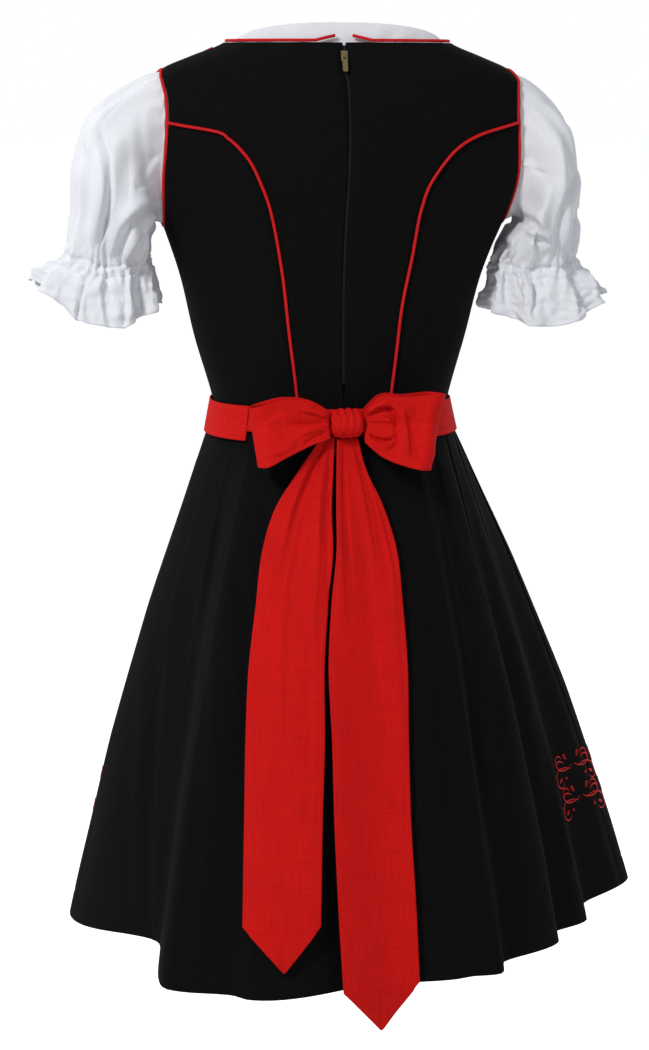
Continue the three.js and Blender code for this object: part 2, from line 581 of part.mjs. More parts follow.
// Apron: a flat band round the waist seam, open at the back, and a gathered panel below it.
const BAND_CLEAR = 1.3;
const bandHeights = [BAND_TOP_Z, WAIST_Z, BAND_BOTTOM_Z];
const downAt = (z) => (WAIST_Z - z) / (WAIST_Z - HEM_Z);
function overWaist(angle, z, out) {
  return z >= WAIST_Z ? torso(angle, z, out) : skirt(angle, downAt(z), false, out).setZ(z);
}
function bandFace(angle, t, out) {
  const top = overWaist(angle, BAND_TOP_Z, out);
  return top.lerp(overWaist(angle, BAND_BOTTOM_Z, out), t);
}
const BAND_STEPS = 30;
const bandAngles = Array.from({ length: BAND_STEPS + 1 }, (_, j) => (
  THREE.MathUtils.lerp(BAND_END, 360 - BAND_END, j / BAND_STEPS)
));
const bandRows = (out) => bandHeights.map((_, i) => bandAngles.map((angle) => bandFace(angle, i / 2, out)));
addPiece('apron_band', wall(bandRows(BAND_CLEAR + APRON_WALL), bandRows(BAND_CLEAR), false), APRON_RED);

const APRON = {
  from: 117, to: 243, bottomZ: -818, lift: 3, gathers: 12, top: 1.2, bottom: 4.5,
  rows: [0, 0.04, 0.12, 0.3, 0.55, 0.8, 1],
};
function apronPoint(share, t) {
  const angle = THREE.MathUtils.lerp(APRON.from, APRON.to, share);
  const z = THREE.MathUtils.lerp(BAND_BOTTOM_Z - SEAM_GAP, APRON.bottomZ, t);
  const swing = APRON.gathers * 2 * Math.PI * share + 1.5 * Math.sin(5 * share + 4 * t);
  const height = THREE.MathUtils.lerp(APRON.top, APRON.bottom, t);
  const lift = THREE.MathUtils.lerp(BAND_CLEAR + APRON_WALL, APRON.lift + height, Math.min(t * 12, 1));
  return skirt(angle, downAt(z), false, lift + height * Math.cos(swing) * Math.min(t * 12, 1)).setZ(z);
}
const APRON_COLUMNS = 4 * APRON.gathers;
const apronFace = APRON.rows.map((t) => Array.from({ length: APRON_COLUMNS + 1 }, (_, j) => (
  apronPoint(j / APRON_COLUMNS, t)
)));
addPiece('apron_panel', wall(apronFace, thickened(apronFace, false, -APRON_WALL), false), APRON_RED);

// Ties: the band narrows to a tie at each end, which runs under the bow to the knot.
const TIE = { z: -350, height: 22, to: 1.5, steps: 6 };
for (const side of SIDES) {
  const angles = Array.from({ length: TIE.steps + 1 }, (_, j) => (
    THREE.MathUtils.lerp(BAND_END - 0.4, TIE.to, j / TIE.steps)
  ));
  const rows = (out) => [TIE.height / 2, -TIE.height / 2].map((rise) => angles.map((angle) => {
    const t = (BAND_TOP_Z - TIE.z - rise) / (BAND_TOP_Z - BAND_BOTTOM_Z);
    return bandFace(side.turn(angle), t, out);
  }));
  addPiece(`apron_tie_${side.name}`, wall(rows(BAND_CLEAR + APRON_WALL), rows(BAND_CLEAR), false), APRON_RED);
}

// Bow: each loop is a strip brought round from the knot and back. Seen from above it is a drop
// with a small round at the knot and a large one outside; `out` is the distance from the centre.
const LOOP = {
  wall: 1.3, knotY: 107, knotRadius: 4.2, endRadius: 15, endY: 99, arc: 7, line: 5, pinch: 1.6, pinchReach: 40,
};
const LOOP_LEFT = [
  { out: 12, top: -341, bottom: -362 },
  { out: 36, top: -328, bottom: -369 },
  { out: 60, top: -326, bottom: -379 },
  { out: 80, top: -331, bottom: -388 },
  { out: 93, top: -334, bottom: -389 },
];
const LOOP_RIGHT = [
  { out: 12, top: -341, bottom: -364 },
  { out: 32, top: -324, bottom: -381 },
  { out: 58, top: -325, bottom: -391 },
  { out: 80, top: -324, bottom: -395 },
  { out: 98, top: -325, bottom: -397 },
];
const LOOP_INNER = 16.3;
const LOOP_LEAN = 0.42;            // the loops rest on the skirt, which stands out below the waist
const LOOP_SLANT = { left: 6, right: 18 };     // how much shorter a loop is at its lower edge

// Points round two circles joined by their outer tangents, from the small one's far side.
function dropOutline(reach) {
  const length = reach - LOOP.endRadius - LOOP_INNER - LOOP.knotRadius;
  const lean = Math.asin((LOOP.endRadius - LOOP.knotRadius) / length);
  const flank = Math.PI / 2 + lean;
  const points = [];
  const arcs = [
    { x: LOOP_INNER + LOOP.knotRadius, y: LOOP.knotY, radius: LOOP.knotRadius, from: flank, to: 2 * Math.PI - flank },
    { x: reach - LOOP.endRadius, y: LOOP.endY, radius: LOOP.endRadius, from: -flank, to: flank },
  ];
  arcs.forEach((arc, n) => {
    for (let k = 0; k <= LOOP.arc; k += 1) {
      const turn = THREE.MathUtils.lerp(arc.from, arc.to, k / LOOP.arc);
      points.push([arc.x + arc.radius * Math.cos(turn), arc.y + arc.radius * Math.sin(turn)]);
    }
    const next = arcs[1 - n];
    const start = points.at(-1);
    const turn = n ? flank : -flank;
    const end = [next.x + next.radius * Math.cos(turn), next.y + next.radius * Math.sin(turn)];
    for (let k = 1; k < LOOP.line; k += 1) {
      const t = k / LOOP.line;
      points.push([start[0] + (end[0] - start[0]) * t, start[1] + (end[1] - start[1]) * t]);
    }
  });
  return points;
}

function bowLoop(side, table) {
  const reach = table.at(-1).out;
  const rows = [0, 0.25, 0.5, 0.75, 1].map((t) => dropOutline(reach - LOOP_SLANT[side.key] * t).map(([x, y]) => {
    const top = read(table, 'out', 'top', x);
    const z = THREE.MathUtils.lerp(top, read(table, 'out', 'bottom', x), t);
    const front = THREE.MathUtils.clamp((y - LOOP.knotY) / LOOP.knotRadius, -1, 1);
    const pinch = LOOP.pinch * Math.max(1 - (x - LOOP_INNER) / LOOP.pinchReach, 0) * Math.cos(3 * Math.PI * t);
    const lean = LOOP_LEAN * Math.max(WAIST_Z - z, 0);
    return new THREE.Vector3(side.sign * x, y + lean + pinch * front, z);
  }));
  return wall(rows, thickened(rows, true, LOOP.wall * side.sign), true);
}
addPiece('bow_loop_left', bowLoop(SIDES[0], LOOP_LEFT), APRON_RED);
addPiece('bow_loop_right', bowLoop(SIDES[1], LOOP_RIGHT), APRON_RED);

// Knot: the strip's turn round the loops, with upright gathers across its face.
const KNOT = { half: 16, tall: 14, deep: 14, y: 107.1, z: -350, gathers: 5, ridge: 1.1, rings: 15, sides: 12 };
function knotSolid() {
  const points = [new THREE.Vector3(-KNOT.half, KNOT.y, KNOT.z)];
  for (let i = 0; i < KNOT.rings; i += 1) {
    const along = -1 + (2 * (i + 0.5)) / KNOT.rings;
    const round = (1 - Math.abs(along) ** 4) ** 0.35;
    const ridge = KNOT.ridge * Math.cos(KNOT.gathers * Math.PI * along) * round;
    for (let j = 0; j < KNOT.sides; j += 1) {
      const turn = (j * 2 * Math.PI) / KNOT.sides;
      points.push(new THREE.Vector3(
        KNOT.half * along,
        KNOT.y + (KNOT.deep * round + ridge) * Math.cos(turn),
        KNOT.z + (KNOT.tall * round + ridge * 0.6) * Math.sin(turn),
      ));
    }
  }
  points.push(new THREE.Vector3(KNOT.half, KNOT.y, KNOT.z));
  const faces = [];
  const at = (i, j) => 1 + i * KNOT.sides + (j % KNOT.sides);
  for (let j = 0; j < KNOT.sides; j += 1) {
    faces.push(0, at(0, j + 1), at(0, j));
    for (let i = 0; i < KNOT.rings - 1; i += 1) {
      faces.push(at(i, j), at(i, j + 1), at(i + 1, j + 1), at(i, j), at(i + 1, j + 1), at(i + 1, j));
    }
    faces.push(at(KNOT.rings - 1, j), at(KNOT.rings - 1, j + 1), points.length - 1);
  }
  return facingOut(points, faces);
}
addPiece('bow_knot', knotSolid(), APRON_RED);

// Tails: two strips that hang from the knot over the back of the skirt, cut to points. Each row
// has the strip's edges in X, its lift off the skirt and how far its end runs to a point.
const TAIL_LEFT = [
  { z: -362.8, low: 11.5, high: 24, lift: 14, point: 0 },
  { z: -394, low: 14, high: 47, lift: 9, point: 0 },
  { z: -430, low: 17, high: 71, lift: 6, point: 0 },
  { z: -470, low: 18, high: 85, lift: 5, point: 0 },
  { z: -515, low: 25, high: 93, lift: 5, point: 0 },
  { z: -575, low: 32, high: 103, lift: 5, point: 0 },
  { z: -640, low: 35, high: 109, lift: 5, point: 0 },
  { z: -720, low: 41, high: 114, lift: 5, point: 0 },
  { z: -804, low: 46, high: 119, lift: 5, point: 41 },
];
const TAIL_RIGHT = [
  { z: -364.8, low: -11, high: 9.5, lift: 14, point: 0 },
  { z: -394, low: -18, high: 11, lift: 9, point: 0 },
  { z: -430, low: -34, high: 13, lift: 7, point: 0 },
  { z: -470, low: -45, high: 15, lift: 6, point: 0 },
  { z: -515, low: -48, high: 22, lift: 6, point: 0 },
  { z: -575, low: -50, high: 28, lift: 6, point: 0 },
  { z: -640, low: -48, high: 28, lift: 6, point: 0 },
  { z: -720, low: -47, high: 29, lift: 6, point: 0 },
  { z: -800, low: -49, high: 28, lift: 6, point: 0 },
  { z: -867, low: -50, high: 26, lift: 6, point: 45 },
];
const TAIL_STEPS = 4;

// How far back the skirt's folds reach at a place seen from the back.
function skirtBack(x, z) {
  let [low, high] = [-60, 60];
  for (let k = 0; k < 24; k += 1) {
    const middle = (low + high) / 2;
    if (skirt(middle, downAt(z), false).x < x) low = middle;
    else high = middle;
  }
  return skirt(low, downAt(z), false).y;
}
function tail(table) {
  const face = table.map((row) => Array.from({ length: TAIL_STEPS + 1 }, (_, j) => {
    const share = j / TAIL_STEPS;
    const x = THREE.MathUtils.lerp(row.low, row.high, share);
    const z = row.z - row.point * (1 - Math.abs(2 * share - 1));
    const fold = 1.2 * Math.cos(2 * Math.PI * share);
    return new THREE.Vector3(x, skirtBack(x, Math.max(z, HEM_Z)) + row.lift + fold, z);
  }));
  return wall(face, thickened(face, false, -APRON_WALL), false);
}
addPiece('bow_tail_left', tail(TAIL_LEFT), APRON_RED);
addPiece('bow_tail_right', tail(TAIL_RIGHT), APRON_RED);

// Zip: a tape behind the dress edges at the centre back, its row of teeth raised between them.
const ZIP_ROWS = [ZIP_END_Z, -300, -250, -200, -150, -106, -67.3, -42, -17, 6];
const ZIP_PROFILE = [
  { x: -9, out: -2.3 }, { x: -1.3, out: -2.3 }, { x: -1.1, out: -0.6 },
  { x: 1.1, out: -0.6 }, { x: 1.3, out: -2.3 }, { x: 9, out: -2.3 },
];
const zipAt = (x, z, out) => torso(Math.sign(x) * angleAtWidth(Math.abs(x), z), z, out);
const zipRows = (depth) => ZIP_ROWS.map((z) => ZIP_PROFILE.map((row) => (
  zipAt(row.x, z, depth === undefined ? row.out : depth)
)));
addPiece('zip', wall(zipRows(), zipRows(-3.1), false), ZIP_BLACK);

// Slider and pull, drawn in their own frame: Z up along the zip, Y out of the cloth.
const SLIDER = { z: -5, clear: 0.4, width: 6.4, height: 9.5, plate: 1.2, bridge: 2, strip: 0.9, gap: 2, opening: 4.4 };
const STEM = { width: 1.6, height: 6, depth: 0.6 };   // reaches down between the dress edges
const PULL = { width: 5, thick: 1, bar: 1.2, slot: 2.9, window: 3.4, length: 17, round: 1.4 };
const wasm = await Module();
wasm.setup();

// A closed geometry as a solid that can be joined.
function solid(geometry) {
  const bare = geometry.clone();
  bare.deleteAttribute('normal');
  bare.deleteAttribute('uv');
  const merged = BufferGeometryUtils.mergeVertices(bare, 1e-4);
  const vertProperties = new Float32Array(merged.attributes.position.array);
  const triVerts = new Uint32Array(merged.index.array);
  return new wasm.Manifold(new wasm.Mesh({ numProp: 3, vertProperties, triVerts }));
}
function fromSolid(joined) {
  const mesh = joined.getMesh();
  const geometry = new THREE.BufferGeometry();
  geometry.setAttribute('position', new THREE.BufferAttribute(new Float32Array(mesh.vertProperties), 3));
  geometry.setIndex(Array.from(mesh.triVerts));
  geometry.computeVertexNormals();
  return geometry;
}
function block(width, depth, height, y) {
  return new THREE.BoxGeometry(width, depth, height).translate(0, y + depth / 2, 0);
}

// The slider: a plate over the teeth, a stem down to them, and a bridge that holds the pull.
function sliderSolid() {
  const plateTop = SLIDER.clear + SLIDER.plate;
  const sunk = 0.3;
  const leg = block(SLIDER.bridge, SLIDER.gap + sunk + SLIDER.strip, SLIDER.strip, plateTop - sunk);
  const away = (SLIDER.opening + SLIDER.strip) / 2;
  const span = SLIDER.opening + 2 * SLIDER.strip;
  return solid(block(SLIDER.width, SLIDER.plate, SLIDER.height, SLIDER.clear))
    .add(solid(block(STEM.width, STEM.depth, STEM.height, SLIDER.clear - STEM.depth + sunk)))
    .add(solid(leg.clone().translate(0, 0, away)))
    .add(solid(leg.clone().translate(0, 0, -away)))
    .add(solid(block(SLIDER.bridge, SLIDER.strip, span, plateTop + SLIDER.gap)));
}

// The pull: a flat tab whose window goes round the bridge's leg, with its bar under the bridge.
function pullGeometry() {
  const half = PULL.width / 2;
  const top = PULL.bar / 2;
  const end = top - PULL.length;
  const outline = new THREE.Shape();
  outline.moveTo(-half, top);
  outline.lineTo(-half, end + PULL.round);
  outline.absarc(-half + PULL.round, end + PULL.round, PULL.round, Math.PI, 1.5 * Math.PI, false);
  outline.absarc(half - PULL.round, end + PULL.round, PULL.round, 1.5 * Math.PI, 2 * Math.PI, false);
  outline.lineTo(half, top);
  outline.closePath();
  const window = new THREE.Path();
  window.moveTo(-PULL.slot / 2, -top);
  window.lineTo(PULL.slot / 2, -top);
  window.lineTo(PULL.slot / 2, -top - PULL.window);
  window.lineTo(-PULL.slot / 2, -top - PULL.window);
  window.closePath();
  outline.holes.push(window);
  const shape = new THREE.ExtrudeGeometry(outline, { depth: PULL.thick, bevelEnabled: false, curveSegments: 3 });
  return shape.translate(0, 0, -PULL.thick / 2).rotateX(Math.PI / 2);
}

const above = torsoFace(0, SLIDER.z + 4).sub(torsoFace(0, SLIDER.z - 4));
const zipFittings = new THREE.Group();
zipFittings.position.copy(torsoFace(0, SLIDER.z));
zipFittings.rotation.x = Math.atan2(-above.y, above.z);
garment.add(zipFittings);
addPiece('zip_slider', fromSolid(sliderSolid()), BRASS, zipFittings);
const pull = addPiece('zip_pull', pullGeometry(), BRASS, zipFittings);
pull.position.y = SLIDER.clear + SLIDER.plate + SLIDER.gap / 2;

export default garment;
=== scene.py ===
import math
import bpy
import numpy as np
from mathutils.bvhtree import BVHTree
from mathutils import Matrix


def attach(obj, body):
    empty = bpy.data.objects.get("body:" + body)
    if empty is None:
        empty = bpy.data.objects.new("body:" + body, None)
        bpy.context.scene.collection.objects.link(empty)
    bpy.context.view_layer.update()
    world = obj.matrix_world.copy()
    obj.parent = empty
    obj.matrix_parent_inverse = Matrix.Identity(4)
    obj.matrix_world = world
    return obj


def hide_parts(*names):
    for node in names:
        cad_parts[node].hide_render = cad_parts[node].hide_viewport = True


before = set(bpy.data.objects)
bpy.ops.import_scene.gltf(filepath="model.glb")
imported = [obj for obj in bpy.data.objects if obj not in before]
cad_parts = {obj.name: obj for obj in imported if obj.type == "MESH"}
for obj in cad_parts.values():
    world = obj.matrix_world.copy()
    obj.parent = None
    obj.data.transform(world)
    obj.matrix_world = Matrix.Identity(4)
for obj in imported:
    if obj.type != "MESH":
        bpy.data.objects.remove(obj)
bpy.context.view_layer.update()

# The studio: a pale floor a wearer's height below the shoulders, and large soft lights. The camera
# looks at the back of the set, a little from the wearer's left and from above.
MM = 0.001
CAMERA_AT = (0.3799, 2.3697, -0.032)
CAMERA_TURN = (79.7, 0, 171)                     # degrees: pitched 10.3 down, 9 to the left of the back
LENS_LENGTH, SENSOR_HEIGHT = 83, 36              # of the camera, in its own millimetres
FLOOR_Z, FLOOR_REACH, FLOOR_GLOW, FLOOR_GREYS = -1.42, 60, 0.7, (0.93, 0.97)
AIR_COLOUR, AIR_LIGHT = (0.93, 0.96, 1.0, 1), 0.34
SOFT_LIGHTS = [                                  # name, place, what it faces, size in metres, watts
    ("key_light", (1.7, 1.7, 1.5), (0, 0, -0.25), 0.55, 56),
    ("fill_light", (-2.2, 1.8, 0.5), (0, 0, -0.4), 1.6, 12),
    ("front_light_left", (2.0, -1.6, 1.2), (0, 0, -0.3), 1.0, 26),
    ("front_light_right", (-2.0, -1.8, 0.6), (0, 0, -0.4), 1.4, 16),
]
scene = bpy.context.scene
scene.view_settings.view_transform = "Standard"


def node(look, kind, fed=None, operation=None, **values):
    """Adds a node to a look: `fed` gives the outputs that feed its inputs, `values` sets others."""
    made = look.nodes.new("ShaderNode" + kind)
    if kind == "Mix":
        made.data_type = "RGBA"
    if operation:
        made.operation = operation
    for name, value in values.items():
        made.inputs[name.replace("_", " ")].default_value = value
    for name, output in (fed or {}).items():
        look.links.new(output, made.inputs[name])
    return made


def feed(look, shader_node, **outputs):
    """Joins outputs to a shader's own inputs, which are named with _ for a space."""
    for name, output in outputs.items():
        look.links.new(output, shader_node.inputs[name.replace("_", " ")])


def make_piece(name, points, faces, finish, smooth=False):
    """Makes an object of one finish from points in metres and faces, smooth all over or by face."""
    mesh = bpy.data.meshes.new(name)
    mesh.from_pydata(np.asarray(points).tolist(), [], faces)
    mesh.polygons.foreach_set("use_smooth", np.array(np.broadcast_to(smooth, len(faces)), bool))
    mesh.materials.append(finish)
    piece = bpy.data.objects.new(name, mesh)
    scene.collection.objects.link(piece)
    return piece


lens = bpy.data.cameras.new("back_view")
lens.sensor_fit = "VERTICAL"
lens.sensor_height = SENSOR_HEIGHT
lens.lens = LENS_LENGTH
camera = bpy.data.objects.new("back_view", lens)
camera.location = CAMERA_AT
camera.rotation_euler = [math.radians(turn) for turn in CAMERA_TURN]
scene.collection.objects.link(camera)
scene.camera = camera
for name, place, facing, size, watts in SOFT_LIGHTS:
    lamp = bpy.data.lights.new(name, "AREA")
    lamp.shape = "DISK"
    lamp.size = size
    lamp.energy = watts
    light = bpy.data.objects.new(name, lamp)
    light.location = place
    away = np.array(place) - np.array(facing)
    light.rotation_euler = (math.atan2(math.hypot(away[0], away[1]), away[2]), 0,
                            math.atan2(away[0], -away[1]))
    scene.collection.objects.link(light)

world = bpy.data.worlds.new("white_studio")
scene.world = world
world.use_nodes = True
air = world.node_tree
ambient = air.nodes["Background"]
ambient.inputs["Color"].default_value = AIR_COLOUR
ambient.inputs["Strength"].default_value = AIR_LIGHT
white = node(air, "Background", Color=(1, 1, 1, 1))
seen = node(air, "LightPath")
either = node(air, "MixShader", {"Fac": seen.outputs["Is Camera Ray"], 1: ambient.outputs["Background"],
                                 2: white.outputs["Background"]})
feed(air, air.nodes["World Output"], Surface=either.outputs["Shader"])

floor_finish = bpy.data.materials.new("pale_floor")
floor_finish.use_nodes = True
floor_look = floor_finish.node_tree
paint = floor_look.nodes["Principled BSDF"]
paint.inputs["Roughness"].default_value = 0.9
paint.inputs["Emission Color"].default_value = (1, 1, 1, 1)
speckle = node(floor_look, "TexNoise", Scale=40)
shade = node(floor_look, "Mix", {"Factor": speckle.outputs["Fac"]},
             A=(*[FLOOR_GREYS[0]] * 3, 1), B=(*[FLOOR_GREYS[1]] * 3, 1))
looked_at = node(floor_look, "LightPath")
glow = node(floor_look, "Math", {0: looked_at.outputs["Is Camera Ray"]}, "MULTIPLY")
glow.inputs[1].default_value = FLOOR_GLOW
feed(floor_look, paint, Base_Color=shade.outputs["Result"], Emission_Strength=glow.outputs["Value"])
corners = [(x * FLOOR_REACH, y * FLOOR_REACH, FLOOR_Z) for x, y in ((-1, -1), (1, -1), (1, 1), (-1, 1))]
make_piece("floor", corners, [(0, 1, 2, 3)], floor_finish)

# The bodice: seven panels of matt black cotton, cut to the back and bust and sewn edge to edge.
# Each is one thin layer on the dressed form. Sizes are millimetres, angles degrees: 0 the centre
# back, 90 the wearer's left, 180 the front.
NECK_Z, TIP_Z, UNDERARM_Z, WAIST_Z, FRONT_NECK_Z = 8, -16, -168, -350, -95
DRESS_WALL, SEAM_GAP, ZIP_GAP, ZIP_END_Z = 1.6, 0.3, 3, -316
ARMHOLE_DEEP = 38
ROUNDNESS = 2.3


def table(columns, *rows):
    """A table of sizes: one named column for each word, one row for each section or crease."""
    return dict(zip(columns.split(), np.array(rows, float).T))


FORM = table("z centre half back front mid",
             (-350, -1, 116.2, 87, 93, 0),
             (-335, -1, 117.7, 86, 93, 0),
             (-277, -1, 134.5, 82, 99, 0),
             (-216, -2, 149.5, 79, 109, 2),
             (-165, -4, 168.5, 79, 117, 4),
             (-115, -7, 190.5, 80, 113, 8),
             (-70, -8, 193, 78, 96, 12),
             (-30, -7, 182, 73, 72, 18),
             (-16, -4, 168, 69, 62, 20),
             (-4, -4, 140, 65, 52, 21),
             (8, -5, 111, 60, 43, 22),
             (32, -4, 93, 53, 30, 20))


def read(rows, by, key, value):
    """Reads a column on a smooth curve through its rows, which run up in their `by` column."""
    places, column = rows[by], rows[key]
    last = len(places) - 1
    value = np.asarray(value, float)
    low = np.clip(np.searchsorted(places, value) - 1, 0, last - 1)
    before = np.clip(np.arange(last + 1) - 1, 0, last)
    after = np.clip(np.arange(last + 1) + 1, 0, last)
    slope = (column[after] - column[before]) / (places[after] - places[before])
    span = places[low + 1] - places[low]
    t = np.clip((value - places[low]) / span, 0, 1)
    rise = t * t * (3 - 2 * t)
    bend = t * (1 - t) ** 2 * slope[low] + t * t * (t - 1) * slope[low + 1]
    return column[low] * (1 - rise) + column[low + 1] * rise + bend * span


def ease(value, low, high):
    """Rises softly from 0 at `low` to 1 at `high`."""
    t = np.clip((np.asarray(value, float) - low) / (high - low), 0, 1)
    return t * t * (3 - 2 * t)


def form_face(angle, z):
    """Points of the dressed form's face: rounded sections, flatter at the back than in front."""
    angle, z = np.broadcast_arrays(np.asarray(angle, float), np.asarray(z, float))
    sin, cos = np.sin(np.radians(angle)), np.cos(np.radians(angle))
    mid = read(FORM, "z", "mid", z)
    deep = np.where(cos > 0, read(FORM, "z", "back", z) - mid, read(FORM, "z", "front", z) + mid)
    power = 2 / ROUNDNESS
    x = read(FORM, "z", "centre", z) + read(FORM, "z", "half", z) * np.sign(sin) * np.abs(sin) ** power
    return np.stack([x, mid + deep * np.sign(cos) * np.abs(cos) ** power, z], -1)


def unit(vectors):
    """The vectors, each brought to a length of one."""
    return vectors / np.maximum(np.linalg.norm(vectors, axis=-1, keepdims=True), 1e-9)


def on_form(angle, z, out):
    """Points of the dressed form, moved out of its face by a distance."""
    across = form_face(np.add(angle, 0.5), z) - form_face(np.subtract(angle, 0.5), z)
    up = form_face(angle, np.add(z, 0.5)) - form_face(angle, np.subtract(z, 0.5))
    return form_face(angle, z) + unit(np.cross(up, across)) * np.asarray(out, float)[..., None]


def angle_at_width(width, z):
    """The angle from the centre back or front at which the form is that wide to one side."""
    return np.degrees(np.arcsin((width / read(FORM, "z", "half", z)) ** (ROUNDNESS / 2)))


def armhole(turn, inset):
    """Places (angle, z) round an armhole: 0 the shoulder, 90 the back, 180 the underarm."""
    turn = np.asarray(turn, float)
    z = (TIP_Z + UNDERARM_Z) / 2 + ((TIP_Z - UNDERARM_Z) / 2 - inset) * np.cos(np.radians(turn))
    away = (ARMHOLE_DEEP - inset) * np.sin(np.radians(turn))
    mid = read(FORM, "z", "mid", z)
    deep = np.where(away > 0, read(FORM, "z", "back", z) - mid, read(FORM, "z", "front", z) + mid)
    from_face = np.degrees(np.arccos((np.abs(away) / deep) ** (ROUNDNESS / 2)))
    return np.stack([np.where(away > 0, from_face, 180 - from_face), z], -1)


def curve(points, steps):
    """A smooth line through points, with even steps between each two."""
    p = np.asarray(points, float)
    slope = np.gradient(p, axis=0)
    i = np.repeat(np.arange(len(p) - 1), steps)
    t = np.tile(np.arange(steps) / steps, len(p) - 1)[:, None]
    rise = t * t * (3 - 2 * t)
    line = p[i] * (1 - rise) + p[i + 1] * rise + t * (1 - t) ** 2 * slope[i] + t * t * (t - 1) * slope[i + 1]
    return np.vstack([line, p[-1:]])


def straight(start, end, steps):
    """A straight line of places between two, with even steps."""
    return np.linspace(start, end, steps + 1)


def in_turn(*lines):
    """Joins lines end to end, and keeps each shared end once."""
    return np.vstack([lines[0], *[line[1:] for line in lines[1:]]])


def patch(bottom, top, inner, outer, hold=1):
    """A panel's places between its four edges: rows run from the bottom up, columns outwards."""
    t = (((inner[:, 1] - inner[0, 1]) / (inner[-1, 1] - inner[0, 1])) ** hold)[:, None, None]
    s = np.linspace(0, 1, len(bottom))[None, :, None]
    edges = (1 - t) * bottom + t * top + (1 - s) * inner[:, None] + s * outer[:, None]
    return edges - (1 - t) * ((1 - s) * bottom[0] + s * bottom[-1]) - t * ((1 - s) * top[0] + s * top[-1])


def face_normals(face, closed):
    """Normals of a grid of points, taken across each point's neighbours."""
    if closed:
        across = np.roll(face, -1, 1) - np.roll(face, 1, 1)
    else:
        across = np.gradient(face, axis=1)
    return unit(np.cross(across, np.gradient(face, axis=0)))


def outward(face, closed, core):
    """The grid's normals, all turned to the side that faces away from the core."""
    normals = face_normals(face, closed)
    side = np.sign(np.sum(normals * (face - core)))
    return normals * side


def crease_rows(*rows):
    """A table of creases, each from one place to another, in the columns that `creases` reads."""
    return table("x z to_x to_z bow wide high side", *rows)


def creases(face, rows, mid=0.0):
    """Heights of soft ridges (+) and troughs (-), laid between two places seen from the back.

    `bow` is how far the crease bends aside, `wide` and `high` its size, and `side` is 1 for the
    back and -1 for the front. Each is steeper on one flank, as a fold in cloth is."""
    x, y, z = face[..., 0], face[..., 1], face[..., 2]
    height = np.zeros(face.shape[:-1])
    for k in range(len(rows["x"])):
        row = {key: column[k] for key, column in rows.items()}
        dx, dz = row["to_x"] - row["x"], row["to_z"] - row["z"]
        length = math.hypot(dx, dz)
        t = ((x - row["x"]) * dx + (z - row["z"]) * dz) / length ** 2
        off = ((z - row["z"]) * dx - (x - row["x"]) * dz) / length - row["bow"] * 4 * t * (1 - t)
        wide = np.where(off > 0, row["wide"], row["wide"] * 0.32)
        ends = np.exp(-np.maximum(np.abs(t - 0.5) - 0.28, 0) ** 2 / 0.03)
        facing = ease((y - mid) * row["side"], -12, 22)
        height += row["high"] * np.exp(-(off / wide) ** 2) * ends * facing
    return height


def sew(name, face, inner, finish, closed=False, warp=None):
    """Makes one closed wall of cloth between its outer and inner grids, with UVs in metres.

    `warp` gives how far along the cloth each point lies, where the rows don't cross it straight."""
    rows, columns = face.shape[:2]
    spans = columns if closed else columns - 1
    i, j = np.meshgrid(np.arange(rows - 1), np.arange(spans), indexing="ij")
    quads = []

    def add(*corners):
        corners = [np.stack(np.broadcast_arrays(layer, a, b), -1) for layer, a, b in corners]
        quads.append(np.stack(corners, -2).reshape(-1, 4, 3))

    add((0, i, j), (0, i, j + 1), (0, i + 1, j + 1), (0, i + 1, j))
    add((1, i, j), (1, i + 1, j), (1, i + 1, j + 1), (1, i, j + 1))
    j = np.arange(spans)
    end = rows - 1
    add((0, 0, j), (1, 0, j), (1, 0, j + 1), (0, 0, j + 1))
    add((0, end, j), (0, end, j + 1), (1, end, j + 1), (1, end, j))
    if not closed:
        i = np.arange(rows - 1)
        end = columns - 1
        add((0, i, 0), (0, i + 1, 0), (1, i + 1, 0), (1, i, 0))
        add((0, i, end), (1, i, end), (1, i + 1, end), (0, i + 1, end))
    quads = np.concatenate(quads)
    points = np.concatenate([face.reshape(-1, 3), inner.reshape(-1, 3)]) * MM
    corners = quads[..., 0] * rows * columns + quads[..., 1] * columns + quads[..., 2] % columns
    a, b, c, d = (points[corners[:, k]] for k in range(4))
    volume = np.sum(a * np.cross(b, c)) + np.sum(a * np.cross(c, d))
    if volume < 0:
        corners, quads = corners[:, ::-1], quads[:, ::-1]
    ring = np.concatenate([face, face[:, :1]], 1) if closed else face
    u = np.concatenate([[0], np.cumsum(np.linalg.norm(np.diff(ring, axis=1), axis=-1).mean(0))]) * MM
    v = np.concatenate([[0], np.cumsum(np.linalg.norm(np.diff(face, axis=0), axis=-1).mean(1))]) * MM
    piece = make_piece(name, points, corners.tolist(), finish, True)
    layer = piece.data.uv_layers.new(name="cloth")
    along = v[quads[..., 1]] if warp is None else warp[quads[..., 1], quads[..., 2] % columns] * MM
    layer.data.foreach_set("uv", np.stack([u[quads[..., 2]], along], -1).ravel())
    piece.data.update()
    return piece


def cut_of(face, closed=False):
    """Width, length and flat area in metres of the cloth that a grid of its outer face takes."""
    ring = np.concatenate([face, face[:, :1]], 1) if closed else face
    width = np.linalg.norm(np.diff(ring, axis=1), axis=-1).sum(1).max() * MM
    length = np.linalg.norm(np.diff(ring, axis=0), axis=-1).sum(0).max() * MM
    down, across = np.diff(ring, axis=0)[:, :-1], np.diff(ring, axis=1)[:-1]
    area = np.linalg.norm(np.cross(down, across), axis=-1).sum() * MM * MM
    return width, length, float(area)


def wear(piece, cad_node, face=None, closed=False, across=None):
    """Joins a piece to the garment's body and hides its CAD node, and for cloth works out the width, length
    and flat area of its cut.
    """
    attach(piece, "garment")
    if cad_node:
        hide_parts(cad_node)
    if face is not None:
        width, length, area = cut_of(face, closed)
        width = across * MM if across else width
    return piece


